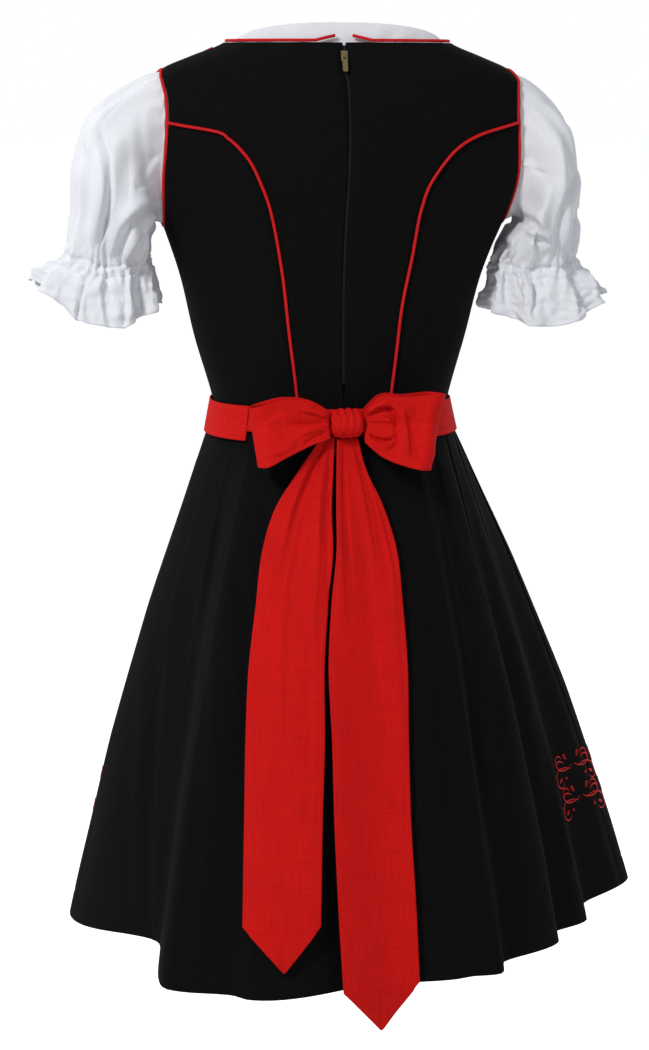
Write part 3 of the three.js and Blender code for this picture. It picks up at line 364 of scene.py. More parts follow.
def shader(name, roughness, sheen=0.0, metallic=0.0):
    """A new material and its shader, with the values that are the same all over set on it."""
    finish = bpy.data.materials.new(name)
    finish.use_nodes = True
    look = finish.node_tree
    bsdf = look.nodes["Principled BSDF"]
    bsdf.inputs["Roughness"].default_value = roughness
    bsdf.inputs["Metallic"].default_value = metallic
    bsdf.inputs["Sheen Weight"].default_value = sheen
    bsdf.inputs["Sheen Roughness"].default_value = 0.5
    return finish, look, bsdf


CLOUD_SHARE, THREAD_RELIEF, SLUB_RELIEF = 0.5, 0.12, 0.35


def woven(name, light, dark, thread, slub, roughness, sheen, specular, relief):
    """Plain-woven cloth: warp and weft threads, thicker slubs that run along them, and soft
    cloudiness in its dye. `thread` and `slub` are sizes in millimetres, across and along."""
    finish, look, bsdf = shader(name, roughness, sheen)
    bsdf.inputs["Specular IOR Level"].default_value = specular
    place = node(look, "UVMap")
    place.uv_map = "cloth"
    uv = {"Vector": place.outputs["UV"]}
    threads = []
    for direction in ("X", "Y"):
        wave = node(look, "TexWave", uv, Scale=2 * math.pi / (20 * thread * MM), Distortion=1.5, Detail=1)
        wave.bands_direction = direction
        threads.append(wave.outputs["Fac"])
    over = node(look, "Math", {0: threads[0], 1: threads[1]}, "MAXIMUM")
    streaks = []
    for across, along in ((slub[1], slub[0]), (slub[0], slub[1])):
        stretch = node(look, "Mapping", uv, Scale=(1 / (across * MM), 1 / (along * MM), 1))
        streaks.append(node(look, "TexNoise", {"Vector": stretch.outputs["Vector"]}, Scale=1, Detail=3))
    both = node(look, "Math", {0: streaks[0].outputs["Fac"], 1: streaks[1].outputs["Fac"]}, "ADD")
    cloud = node(look, "TexNoise", uv, Scale=14, Detail=4)
    amount = node(look, "Math", {0: cloud.outputs["Fac"], 2: both.outputs["Value"]}, "MULTIPLY_ADD")
    amount.inputs[1].default_value = CLOUD_SHARE
    spread = node(look, "MapRange", {"Value": amount.outputs["Value"]}, From_Min=0.95, From_Max=1.55)
    dye = node(look, "Mix", {"Factor": spread.outputs["Result"]}, A=(*dark, 1), B=(*light, 1))
    rough = node(look, "MapRange", {"Value": cloud.outputs["Fac"]},
                 To_Min=roughness - 0.08, To_Max=min(roughness + 0.06, 1))
    fine = node(look, "Bump", {"Height": over.outputs["Value"]}, Strength=relief, Distance=THREAD_RELIEF * MM)
    coarse = node(look, "Bump", {"Height": both.outputs["Value"], "Normal": fine.outputs["Normal"]},
                  Strength=relief, Distance=SLUB_RELIEF * MM)
    feed(look, bsdf, Base_Color=dye.outputs["Result"], Roughness=rough.outputs["Result"],
         Normal=coarse.outputs["Normal"])
    return finish


black_cotton = woven("black_cotton", light=(0.0036, 0.0034, 0.0036), dark=(0.0016, 0.0015, 0.0016),
                     thread=0.45, slub=(1.2, 14), roughness=0.9, sheen=0.0, specular=0.1, relief=0.5)

# Where the princess seams lie: their distance from the centre line, from the waist up.
SIDES = {"left": 1, "right": -1}
BACK_SEAM = table("z left right",
                  (-350, 44, 44), (-300, 48, 50), (-250, 54, 56), (-200, 61, 65), (-150, 73, 72),
                  (-126, 83, 79), (-106, 93, 92), (-92, 104, 105), (-82, 115, 121), (-75, 128, 141))
FRONT_SEAM = table("z x", (-350, 42), (-305, 48), (-255, 58), (-205, 70), (-165, 79), (-130, 84), (-95, 88))
STRAP_EDGE = table("z x", (-78, 90), (-58, 93), (-38, 97), (-20, 101))
SEAM_AT_ARMHOLE, CLOSED_GAP = 71, 0.2
FINE = 6                                         # steps between the places of an edge


def turned(places, side):
    """Places (angle, z) of the wearer's left, or the same on the right."""
    return places if side > 0 else np.stack([360 - places[..., 0], places[..., 1]], -1)


def back_seam(key):
    """Places along a back princess seam, from the waist to the armhole."""
    rows = np.stack([angle_at_width(BACK_SEAM[key], BACK_SEAM["z"]), BACK_SEAM["z"]], -1)
    return curve(np.vstack([rows, armhole(SEAM_AT_ARMHOLE, 0)]), FINE)


def along_front(rows):
    """Turns distances from the centre front into places."""
    return np.stack([180 - angle_at_width(rows["x"], rows["z"]), rows["z"]], -1)


def arm_run(start, end, steps):
    """Places along a part of the armhole's edge."""
    return armhole(np.linspace(start, end, steps * FINE + 1), 0)


side_seam = straight((90, WAIST_Z), (90, UNDERARM_Z), 10 * FINE)
SHOULDER_ROWS = [-42, -17, NECK_Z]
NECK_RUN = straight((0, NECK_Z), (90, NECK_Z), 6 * FINE)


def back_places(key):
    """A back panel's places: open by the zip's gap down to its end, and closed below it."""
    seam = back_seam(key)
    outer = in_turn(seam, arm_run(SEAM_AT_ARMHOLE, 0, 3))
    heights = np.concatenate([seam[:, 1], np.interp(np.arange(1, 3 * FINE + 1) / FINE, [0, 1, 2, 3],
                                                    [seam[-1, 1], *SHOULDER_ROWS])])
    gap = CLOSED_GAP + (ZIP_GAP / 2 - CLOSED_GAP) * ease(heights, ZIP_END_Z - 10, ZIP_END_Z - 2)
    inner = np.stack([angle_at_width(gap, heights), heights], -1)
    neck = NECK_RUN.copy()
    neck[0] = inner[-1]
    top = in_turn(neck, straight((90, NECK_Z), (90, -4), FINE), straight((90, -4), (90, TIP_Z), FINE))
    return patch(straight(inner[0], outer[0], len(top) - 1), top, inner, outer, 4)


def back_side_places(key):
    """A back side panel's places, between the princess seam, the armhole and the side seam."""
    seam = back_seam(key)
    top = arm_run(SEAM_AT_ARMHOLE, 180, 5)
    return patch(straight(seam[0], side_seam[0], len(top) - 1), top, seam, side_seam)


front_edge = np.stack([np.zeros(12 * FINE + 1), np.linspace(WAIST_Z, FRONT_NECK_Z, 12 * FINE + 1)], -1)
front_edge[:, 0] = 180 - angle_at_width(read(FRONT_SEAM, "z", "x", front_edge[:, 1]), front_edge[:, 1])
strap_edge = curve(np.vstack([along_front(STRAP_EDGE), (112, -4), (90, NECK_Z)]), FINE)
strap_edge = in_turn(curve(np.vstack([front_edge[-1], strap_edge[0]]), FINE), strap_edge)
front_inner = in_turn(front_edge, strap_edge)
front_outer = in_turn(side_seam, arm_run(180, 360, 8))
front_side = patch(straight(front_inner[0], front_outer[0], 4 * FINE),
                   straight(front_inner[-1], front_outer[-1], 4 * FINE), front_inner, front_outer)
front_mirror = np.stack([360 - front_edge[:, 0], front_edge[:, 1]], -1)
front_centre = patch(straight(front_edge[0], front_mirror[0], 8 * FINE),
                     straight(front_edge[-1], front_mirror[-1], 8 * FINE), front_edge, front_mirror)

BODICE_CREASES = crease_rows(
    (24, -322, 38, -300, 2, 5, -1.4, 1), (-36, -322, -52, -296, -2, 6, -1.5, 1),
    (10, -330, 16, -284, 1, 4, 0.9, 1), (-12, -330, -22, -290, 2, 5, 0.8, 1),
    (52, -330, 66, -310, 2, 6, -1.1, 1), (-60, -330, -76, -304, -2, 6, -1.2, 1),
    (150, -150, 112, -176, 6, 9, -1.5, 1), (-158, -150, -120, -182, -6, 9, -1.6, 1),
    (164, -118, 128, -128, 4, 8, -1.0, 1), (-170, -120, -138, -134, -4, 8, -1.0, 1),
    (100, -40, 60, -64, 5, 12, -1.1, 1), (-104, -42, -58, -70, -6, 12, -1.2, 1),
    (8.5, 2, 9.5, -316, 0, 1.5, -0.7, 1), (-8.5, 2, -9.5, -316, 0, 1.5, -0.6, 1),
    (108, -236, 60, -262, 6, 12, -1.0, 1), (-112, -240, -70, -270, -6, 12, -1.0, 1),
    (120, -300, 70, -316, 3, 7, -1.2, -1), (-118, -296, -66, -312, -3, 7, -1.1, -1),
    (96, -180, 60, -214, 6, 10, -1.3, -1), (-98, -176, -58, -216, -6, 10, -1.2, -1),
    (20, -330, 30, -290, 2, 6, -1.0, -1), (-24, -330, -30, -296, 2, 6, -1.1, -1),
    (132, -120, 110, -60, 4, 8, -1.2, -1), (-134, -116, -112, -58, 4, 8, -1.2, -1))
SEAM_DIP = 0.7


def bodice_panel(name, places, side, flat_neck=False):
    """Sews one panel: the form's face with its creases, drawn in a little along the seams."""
    places = turned(places, side)
    face = on_form(places[..., 0], places[..., 1], 0)
    core = face.mean((0, 1)) * (0.2, 0.2, 1)
    normals = outward(face, False, core)
    height = creases(face, BODICE_CREASES, 10)
    height[0] -= SEAM_DIP
    height[:, [0, -1]] -= SEAM_DIP
    face = face + normals * height[..., None]
    piece = sew(name + "_cloth", face, face - normals * DRESS_WALL, black_cotton)
    return wear(piece, name, face)


bodice_panel("bodice_front_centre", front_centre, 1)
for key, side in SIDES.items():
    bodice_panel(f"bodice_back_{key}", back_places(key), side)
    bodice_panel(f"bodice_back_side_{key}", back_side_places(key), side)
    bodice_panel(f"bodice_front_side_{key}", front_side, side)

# The zip: a black woven tape sewn behind the two back edges, a row of interlocked
# nylon teeth, and a slider and pull tab of antique brass, pushed up to the top.
TOOTH = {"pitch": 1.5, "width": 1.5, "tall": 0.8, "deep": 0.9, "aside": 0.55, "under": -1.9}
TAPE = {"half": 9, "top": 6, "outer": -2.3, "inner": -3.1}
SLIDER_FOOT_Z = -13


def zip_points(x, z, out):
    """Points by their distance aside from the centre back line, their height and their depth."""
    x, z = np.broadcast_arrays(np.asarray(x, float), np.asarray(z, float))
    return on_form(np.sign(x) * angle_at_width(np.abs(x), z), z, out)


tape_black = woven("zip_tape", light=(0.016, 0.016, 0.018), dark=(0.008, 0.008, 0.009), thread=0.7,
                   slub=(0.8, 6), roughness=0.8, sheen=0.05, specular=0.3, relief=0.8)
heights = np.linspace(ZIP_END_Z, TAPE["top"], 90)[:, None]
across = np.linspace(-TAPE["half"], TAPE["half"], 19)[None]
tape = zip_points(across, heights, TAPE["outer"])
piece = sew("zip_tape", tape, zip_points(across, heights, TAPE["inner"]), tape_black)
wear(piece, "zip", tape)

teeth_finish, teeth_look, teeth_bsdf = shader("black_nylon_teeth", 0.42)
grime = node(teeth_look, "TexNoise", Scale=900)
tone = node(teeth_look, "Mix", {"Factor": grime.outputs["Fac"]},
            A=(0.012, 0.012, 0.013, 1), B=(0.035, 0.035, 0.038, 1))
feed(teeth_look, teeth_bsdf, Base_Color=tone.outputs["Result"])

ROUND_BLOCK = [(x, y, z) for y, half in ((0, 1), (0.7, 0.95), (1, 0.6)) for x, z in
               ((-half, -half * 0.7), (half, -half * 0.7), (half, half * 0.7), (-half, half * 0.7))]
ROUND_BLOCK_FACES = [(3, 2, 1, 0), (8, 9, 10, 11)] + [
    (4 * ring + k, 4 * ring + (k + 1) % 4, 4 * ring + 4 + (k + 1) % 4, 4 * ring + 4 + k)
    for ring in (0, 1) for k in range(4)]
tooth_z = np.arange(ZIP_END_Z + 3, SLIDER_FOOT_Z, TOOTH["pitch"] / 2)
tooth_x = np.where(np.arange(len(tooth_z)) % 2, 1, -1) * TOOTH["aside"]
points, faces = [], []
for x, z in zip(tooth_x, tooth_z):
    base = zip_points(x, z, TOOTH["under"])
    out = unit(zip_points(x, z, 1) - base)
    up = unit(zip_points(x, z + 1, TOOTH["under"]) - base)
    side = np.cross(up, out)
    start = len(points)
    points += [base + side * px * TOOTH["width"] / 2 + out * py * TOOTH["deep"] + up * pz * TOOTH["tall"] / 2
               for px, py, pz in ROUND_BLOCK]
    faces += [tuple(start + corner for corner in quad) for quad in ROUND_BLOCK_FACES]
wear(make_piece("zip_teeth", np.array(points) * MM, faces, teeth_finish), None)

brass, brass_look, brass_bsdf = shader("antique_brass", 0.35, metallic=1.0)
tarnish = node(brass_look, "TexNoise", Scale=420, Detail=5)
patina = node(brass_look, "Mix", {"Factor": tarnish.outputs["Fac"]},
              A=(0.12, 0.095, 0.05, 1), B=(0.52, 0.42, 0.2, 1))
worn = node(brass_look, "MapRange", {"Value": tarnish.outputs["Fac"]}, To_Min=0.28, To_Max=0.5)
scratch = node(brass_look, "Bump", {"Height": tarnish.outputs["Fac"]}, Strength=0.3, Distance=0.05 * MM)
feed(brass_look, brass_bsdf, Base_Color=patina.outputs["Result"], Roughness=worn.outputs["Result"],
     Normal=scratch.outputs["Normal"])
for name in ("zip_slider", "zip_pull"):
    for place in bpy.data.objects[name].material_slots:
        place.material = brass

# The piping: a cord covered with a bias strip of bright red cotton, caught in the princess seams
# and sewn along the neckline and round both armholes.
CORD = 1.5
ON_CLOTH, PAST_EDGE = CORD + SEAM_GAP, CORD + SEAM_GAP + 0.2
CORD_DEPTH = -0.2
BAND_TOP_Z, BAND_BOTTOM_Z, BAND_END = -337, -370, 46

piping_red = woven("piping_red", light=(0.72, 0.007, 0.009), dark=(0.48, 0.004, 0.005), thread=0.35,
                   slub=(0.5, 4), roughness=0.6, sheen=0.0, specular=0.2, relief=0.6)


def cord(name, path, cad_node, closed=False, radius=CORD, sides=10):
    """A round cord of cloth through points."""
    path = np.asarray(path, float)
    along = np.roll(path, -1, 0) - np.roll(path, 1, 0) if closed else np.gradient(path, axis=0)
    along = unit(along)
    side = unit(np.cross(path * (1, 1, 0), along))
    out = np.cross(along, side)
    turn = np.arange(sides) * 2 * math.pi / sides
    rings = (path[:, None] + radius * (side[:, None] * np.cos(turn)[None, :, None]
                                       + out[:, None] * np.sin(turn)[None, :, None]))
    count = len(path)
    spans = count if closed else count - 1
    quads = [(k * sides + n, k * sides + (n + 1) % sides, (k + 1) % count * sides + (n + 1) % sides,
              (k + 1) % count * sides + n) for k in range(spans) for n in range(sides)]
    ends = [tuple(range(sides))[::-1], tuple((count - 1) * sides + n for n in range(sides))]
    faces = quads if closed else quads + ends
    piece = make_piece(name, rings.reshape(-1, 3) * MM, faces, piping_red, [len(f) == 4 for f in faces])
    length = np.concatenate([[0], np.cumsum(np.linalg.norm(np.diff(path, axis=0), axis=1))]) * MM
    layer = piece.data.uv_layers.new(name="cloth")
    uv = []
    for k in range(spans):
        ahead = length[k + 1] if k + 1 < count else length[k]
        for n in range(sides):
            low, high = n * radius * 0.63 * MM, (n + 1) * radius * 0.63 * MM
            uv += [length[k] + low, low, length[k] + high, high, ahead + high, high, ahead + low, low]
    uv += [0, 0] * (len(layer.data) - len(uv) // 2)
    layer.data.foreach_set("uv", uv)
    piece.data.update()
    return wear(piece, cad_node)


def seam_path(places, side):
    """A seam's piping from the top of the apron band up."""
    places = turned(places, side)
    path = on_form(places[:, 0], places[:, 1], ON_CLOTH)
    path = path[path[:, 2] > BAND_TOP_Z + 1]
    low = on_form(places[0, 0], BAND_TOP_Z + 1, ON_CLOTH)
    return np.vstack([low, path])


def round_armhole(side):
    """The armhole piping's line: beside the panels' edge, in the hole that it binds."""
    places = turned(armhole(np.arange(0, 360, 3), 0), side)
    edge = on_form(places[:, 0], places[:, 1], CORD_DEPTH)
    along = unit(np.roll(edge, -1, 0) - np.roll(edge, 1, 0))
    into = np.cross(along, unit(on_form(places[:, 0], places[:, 1], 2) - edge))
    into = into * np.sign(np.sum(into * (edge.mean(0) - edge)))
    return edge + into * ON_CLOTH


def past_edge(edge, within):
    """The line of a cord just past an edge, away from the cloth's next row within."""
    return edge + unit(edge - within) * PAST_EDGE


NECK_CORD_END = {"width": 9, "rise": 4.5}
strap_paths = []
for key, side in SIDES.items():
    angles = np.concatenate([[float(angle_at_width(NECK_CORD_END["width"], NECK_Z))], np.arange(12, 91, 3)])
    lift = np.where(np.arange(len(angles)) == 0, NECK_CORD_END["rise"], 0)
    turned_angles = angles if side > 0 else 360 - angles
    cord(f"piping_neck_{key}", on_form(turned_angles, NECK_Z + PAST_EDGE + lift, CORD_DEPTH),
         f"piping_neck_back_{key}")
    cord(f"piping_back_{key}_cord", seam_path(back_seam(key), side), f"piping_back_{key}")
    cord(f"piping_front_{key}_cord", seam_path(front_edge, side), f"piping_front_{key}")
    cord(f"piping_armhole_{key}_cord", round_armhole(side), f"piping_armhole_{key}", closed=True)
    rows = turned(front_side[12 * FINE:], side)
    strap = on_form(rows[..., 0], rows[..., 1], CORD_DEPTH)
    path = past_edge(strap[:, 0], strap[:, 1])[:-3]
    path[0, 2] += PAST_EDGE
    strap_paths.append(path)
centre_rows = on_form(front_centre[-2:, :, 0], front_centre[-2:, :, 1], CORD_DEPTH)
across_front = past_edge(centre_rows[1], centre_rows[0])[4:-4]
cord("piping_neck_front_cord", np.vstack([strap_paths[0][::-1], across_front, strap_paths[1]]),
     "piping_neck_front")

# The blouse: thin white cotton, worn under the dress. Its back and front show only above the
# neckline and round the armholes, with a narrow bound edge and a small slit at the centre back.
BLOUSE_WALL, BLOUSE_DEPTH, BLOUSE_HEM_Z, BLOUSE_INSET = 1.1, 4.3, -250, 6
BLOUSE_SIDE_Z, BLOUSE_RISE, BLOUSE_FRONT_Z = 10, 18, -70

white_cotton = woven("white_cotton", light=(0.79, 0.8, 0.83), dark=(0.72, 0.73, 0.77), thread=0.4,
                     slub=(0.9, 10), roughness=0.85, sheen=0.08, specular=0.25, relief=0.35)


def blouse_depth(z):
    """How far the blouse lies under the face of the form: deeper below the shoulders' edge."""
    return BLOUSE_DEPTH + 3.4 * (1 - ease(np.abs(np.add(z, 20)), 6, 40))


neck_angle = np.linspace(90, 0, 5 * FINE + 1)
back_neck = np.stack([neck_angle, BLOUSE_SIDE_Z + BLOUSE_RISE * np.cos(np.radians(neck_angle)) ** 0.8], -1)
front_neck = curve([(90, BLOUSE_SIDE_Z), (100, 6), (118, -6), (136, -24), (150, -46), (158, -62),
                    (166, BLOUSE_FRONT_Z), (174, BLOUSE_FRONT_Z - 1), (180, BLOUSE_FRONT_Z - 1)], FINE)


def blouse_half(neck, mirror_at, start, end, reach):
    """One half of the blouse's body, from its hem to the neckline, between the two armholes."""
    near = in_turn(straight((90, BLOUSE_HEM_Z), (90, float(armhole(180, BLOUSE_INSET)[1])), 2 * FINE),
                   armhole(np.linspace(start, end, 8 * FINE + 1), BLOUSE_INSET))
    half = in_turn(straight(near[-1], (90, BLOUSE_SIDE_Z), 2 * FINE), neck)
    across = np.stack([mirror_at - half[::-1, 0], half[::-1, 1]], -1)
    top = in_turn(half, across)
    far = np.stack([mirror_at - near[:, 0], near[:, 1]], -1)
    return patch(straight(near[0], (reach, BLOUSE_HEM_Z), len(top) - 1), top, near, far, 2)


NECK_CREASES = crease_rows(
    (64, 20, 40, 2, 2, 5, -1.2, 1), (-60, 20, -38, 2, -2, 5, -1.2, 1),
    (20, 28, 12, 0, 1, 4, -0.9, 1), (-24, 27, -16, 0, 1, 4, -0.8, 1),
    (84, 14, 66, -4, 2, 5, -1.1, 1), (-84, 14, -62, -4, 2, 5, -1.2, 1),
    (40, 26, 30, 4, 1, 4, 0.9, 1), (-44, 25, -34, 4, -1, 4, 0.9, 1),
    (70, -40, 40, -84, 3, 7, -1.4, -1), (-70, -40, -40, -84, -3, 7, -1.4, -1),
    (10, -72, 6, -100, 1, 6, -1.2, -1), (-20, -72, -14, -100, 1, 6, -1.1, -1))
for name, places in (("blouse_back", blouse_half(back_neck, 0, 180, 0, -90)),
                     ("blouse_front", blouse_half(front_neck, 360, 180, 360, 270))):
    face = on_form(places[..., 0], places[..., 1], -blouse_depth(places[..., 1]))
    inner = on_form(places[..., 0], places[..., 1], -blouse_depth(places[..., 1]) - BLOUSE_WALL)
    relief = creases(face, NECK_CREASES, 20)
    if name == "blouse_back":
        relief -= 0.9 * np.exp(-((face[..., 0] + 4) / 1.1) ** 2)          # centre back seam
    shift = unit(face - inner) * relief[..., None]
    piece = sew(name + "_cloth", face + shift, inner + shift, white_cotton)
    wear(piece, name, face)

# The puff sleeves: one tube each of the same white cotton, gathered into the armhole, drawn in by
# an elastic above the hem and left loose below it as a frill.
SLEEVE = {
    "left": table("along outX outZ inX inZ deep mid droop wave",
                  (0, 166, -24, 163, -160, 32, 11, 0, 0), (0.15, 196, -31, 172, -158, 45, 12, 0, 2),
                  (0.3, 233, -59, 173, -165, 57, 13, 0, 2.2), (0.48, 250, -107, 176, -176, 61, 13, 2, 1.8),
                  (0.62, 252, -152, 177, -186, 53, 11, 6, 2.2), (0.74, 262, -191, 178, -197, 42, 9, 8, 2.2),
                  (0.86, 280, -203, 172, -215, 50, 9, 16, 3.6), (1, 293, -215, 168, -240, 58, 9, 30, 5)),
    "right": table("along outX outZ inX inZ deep mid droop wave",
                   (0, 181, -24, 176, -160, 32, 11, 0, 0), (0.15, 209, -36, 187, -158, 45, 12, 0, 2),
                   (0.3, 233, -66, 186, -165, 57, 13, 0, 2.2), (0.48, 243, -112, 175, -178, 61, 13, 2, 1.8),
                   (0.62, 247, -158, 167, -190, 53, 11, 6, 2.2), (0.74, 248, -198, 162, -204, 42, 9, 8, 2.2),
                   (0.86, 263, -218, 157, -224, 50, 9, 14, 3.6), (1, 278, -236, 150, -247, 60, 9, 22, 5)),
}
SLEEVE_WAVES, ROOT_INSET, ROOT_DEPTH = 10, 2.8, 2.2
HEAD = {"reach": 14, "start": 0.03, "end": 0.3}
ELASTIC = 0.765                                  # where the elastic lies, along the sleeve
SLEEVE_RADIUS, SLEEVE_LENGTH, CREASE_GAIN = 60, 240, 1.45
HEAD_GATHERS = {"count": 26, "high": 0.9, "reach": 0.13}
CUFF_GATHERS = {"count": 27, "high": 1.3, "reach": 0.075}
CASING = {"apart": 0.024, "wide": 0.009, "deep": 1.8}     # the stitched lines that hold the elastic


def crumple(u, v, seed, wave, count=12):
    """An uneven crumpled height from -1 to 1, with sharp ridges, over places in millimetres."""
    chance = np.random.default_rng(seed)
    total = np.zeros(np.broadcast(u, v).shape)
    for _ in range(count):
        heading = chance.uniform(0, math.pi)
        size, phase = wave * chance.uniform(0.6, 1.8), chance.uniform(0, 6.28)
        along = (u * math.cos(heading) + v * math.sin(heading)) * math.pi / size
        total += 1 - 2 * np.abs(np.sin(along + phase))
    return total / count * 2.2


SLEEVE_CREASES = {
    "left": crease_rows(
        (232, -70, 238, -186, -9, 8, 4.0, 1), (225, -76, 231, -188, -9, 5, -3.4, 1),
        (243, -84, 246, -174, -3, 5, -2.8, 1), (172, -22, 232, -60, 6, 4, 1.8, 1),
        (172, -29, 226, -68, 7, 3.5, -2.2, 1), (168, -136, 216, -200, 17, 8, 3.4, 1),
        (170, -145, 210, -200, 12, 7, -3.4, 1), (172, -152, 207, -200, 3, 6, 3.2, 1),
        (180, -172, 200, -206, 3, 5, -2.8, 1), (217, -150, 220, -204, 4, 7, -2.6, 1),
        (170, -96, 184, -122, 3, 9, -1.6, 1), (176, -120, 196, -128, -2, 9, -1.4, 1),
        (204, -60, 206, -150, -4, 12, -1.2, 1), (186, -50, 180, -110, 4, 10, -1.0, 1),
        (236, -206, 250, -258, 5, 6, -3.6, 1), (226, -206, 224, -262, 4, 8, 3.0, 1),
        (206, -208, 208, -262, -4, 6, -2.6, 1), (188, -204, 184, -250, 3, 6, -3.0, 1),
        (254, -206, 276, -240, 3, 7, 2.6, 1),
        (240, -70, 244, -190, 10, 9, 3.8, -1), (226, -80, 226, -196, -10, 8, -3.4, -1),
        (170, -146, 208, -176, 8, 8, -3.0, -1), (178, -60, 210, -150, 8, 12, -2.0, -1),
        (196, -150, 212, -200, 5, 7, 3.0, -1), (240, -208, 252, -256, 5, 6, -3.2, -1),
        (206, -208, 200, -260, 4, 7, 2.8, -1)),
    "right": crease_rows(
        (236, -118, 216, -200, -9, 8, -3.8, 1), (244, -112, 228, -196, -8, 9, 3.2, 1),
        (186, -96, 212, -124, -5, 8, -2.6, 1), (182, -104, 204, -112, -3, 5, 1.6, 1),
        (176, -146, 198, -200, 4, 5, -3.6, 1), (184, -150, 208, -196, 5, 7, 2.4, 1),
        (184, -172, 212, -178, -2, 5, 2.4, 1), (186, -180, 212, -184, -2, 5, -2.8, 1),
        (246, -150, 230, -200, -7, 6, -3.0, 1), (240, -160, 236, -202, 3, 6, 2.2, 1),
        (166, -168, 170, -216, 3, 4, -2.8, 1), (174, -170, 180, -220, -3, 4, 2.4, 1),
        (160, -176, 160, -220, 2, 4, 2.2, 1), (200, -44, 232, -74, 6, 8, -1.4, 1),
        (190, -60, 206, -90, 5, 10, -1.2, 1), (194, -204, 192, -252, 3, 5, -3.4, 1),
        (172, -206, 170, -248, -3, 5, -3.0, 1), (232, -208, 240, -250, 4, 6, -2.8, 1),
        (212, -208, 214, -258, -4, 8, 2.8, 1), (182, -206, 182, -252, 3, 5, 2.4, 1),
        (252, -210, 262, -240, 3, 5, 2.2, 1),
        (240, -76, 240, -190, -10, 9, 3.4, -1), (222, -84, 216, -196, 9, 8, -3.4, -1),
        (178, -146, 206, -176, -8, 8, -2.8, -1), (186, -62, 212, -150, -7, 12, -1.8, -1),
        (196, -150, 204, -200, 5, 7, 2.8, -1), (226, -208, 234, -256, 5, 6, -3.0, -1),
        (194, -208, 186, -258, 4, 7, 2.6, -1)),
}


def sleeve_points(key, along, turn):
    """The sleeve's tube: `along` runs from head to hem, `turn` round it from the top to the back."""
    side = SIDES[key]
    at = {column: read(SLEEVE[key], "along", column, along) for column in SLEEVE[key] if column != "along"}
    sin, cos = np.sin(np.radians(turn)), np.cos(np.radians(turn))
    outer = np.stack([at["outX"], 0 * along, at["outZ"]], -1)
    inner = np.stack([at["inX"], 0 * along, at["inZ"]], -1)
    reach = (outer - inner) / 2
    wave = at["wave"] / np.linalg.norm(reach, axis=-1)
    swell = 1 + wave * np.cos(SLEEVE_WAVES * np.radians(turn) + 1.2 * np.sin(2 * np.radians(turn)))
    point = (outer + inner) / 2 + reach * (cos * swell)[..., None]
    point[..., 1] = at["mid"] + at["deep"] * sin * swell
    point[..., 2] -= at["droop"] * sin * sin
    point[..., 0] *= side
    root = armhole(turn, ROOT_INSET)
    angle = root[..., 0] if side > 0 else 360 - root[..., 0]
    head = on_form(angle, root[..., 1], -ROOT_DEPTH)
    head[..., 0] += side * HEAD["reach"] * np.minimum(along / HEAD["end"], 1)
    t = ease(along, HEAD["start"], HEAD["end"])[..., None]
    return head * (1 - t) + point * t


for key, side in SIDES.items():
    along = np.concatenate([np.linspace(0, 0.66, 62), np.linspace(0.665, 0.87, 34),
                            np.linspace(0.88, 1, 22)])[:, None]
    turn = np.linspace(0, 360, 264, endpoint=False)[None]
    along, turn = np.broadcast_arrays(along, turn)
    face = sleeve_points(key, along, turn)
    normals = outward(face, True, face.mean(1, keepdims=True))
    around = np.radians(turn)
    u, v = around * SLEEVE_RADIUS, along * SLEEVE_LENGTH
    relief = CREASE_GAIN * creases(face * (side, 1, 1), SLEEVE_CREASES[key], 11)
    relief *= ease(along, 0.02, 0.12) * (1 - 0.55 * np.exp(-((along - ELASTIC) / 0.035) ** 2))
    puff = ease(along, 0.03, 0.2) * (1 - ease(along, 0.62, 0.76))
    relief += puff * 1.5 * crumple(u * 0.6, v * 0.4, 3 + side, 32)
    head = np.exp(-(along / HEAD_GATHERS["reach"]) ** 2) * ease(along, 0.0, 0.03)
    head = head * ease(np.cos(around), -0.2, 0.6)
    relief += HEAD_GATHERS["high"] * head * np.cos(HEAD_GATHERS["count"] * around + 2 * np.sin(3 * around))
    gather = np.exp(-((along - ELASTIC) / CUFF_GATHERS["reach"]) ** 2)
    sway = 3.5 * np.sin(2.3 * v / 30 + 4 * np.sin(around + side))
    sway = sway + 1.5 * np.sin(5 * around)
    relief += gather * CUFF_GATHERS["high"] * np.cos(CUFF_GATHERS["count"] * around + sway)
    relief += gather * (2.0 * crumple(u, v, 11 + side, 15) + 0.8 * crumple(u, v, 17 + side, 8))
    wobble = along - ELASTIC + 0.006 * np.sin(6 * around + 2 * side)
    relief -= CASING["deep"] * (np.exp(-((wobble + CASING["apart"]) / CASING["wide"]) ** 2)
                                + np.exp(-((wobble - CASING["apart"]) / CASING["wide"]) ** 2))
    frill = ease(along, ELASTIC + 0.02, 0.9)
    relief += frill * 3.2 * crumple(u, v * 0.6, 23 + side, 27)
    relief += frill * 1.6 * crumple(u, v, 31 + side, 13)
    face = face + normals * relief[..., None]
    inner = face - outward(face, True, face.mean(1, keepdims=True)) * BLOUSE_WALL
    piece = sew(f"sleeve_{key}_cloth", face, inner, white_cotton, closed=True)
    wear(piece, f"sleeve_{key}", face, closed=True)

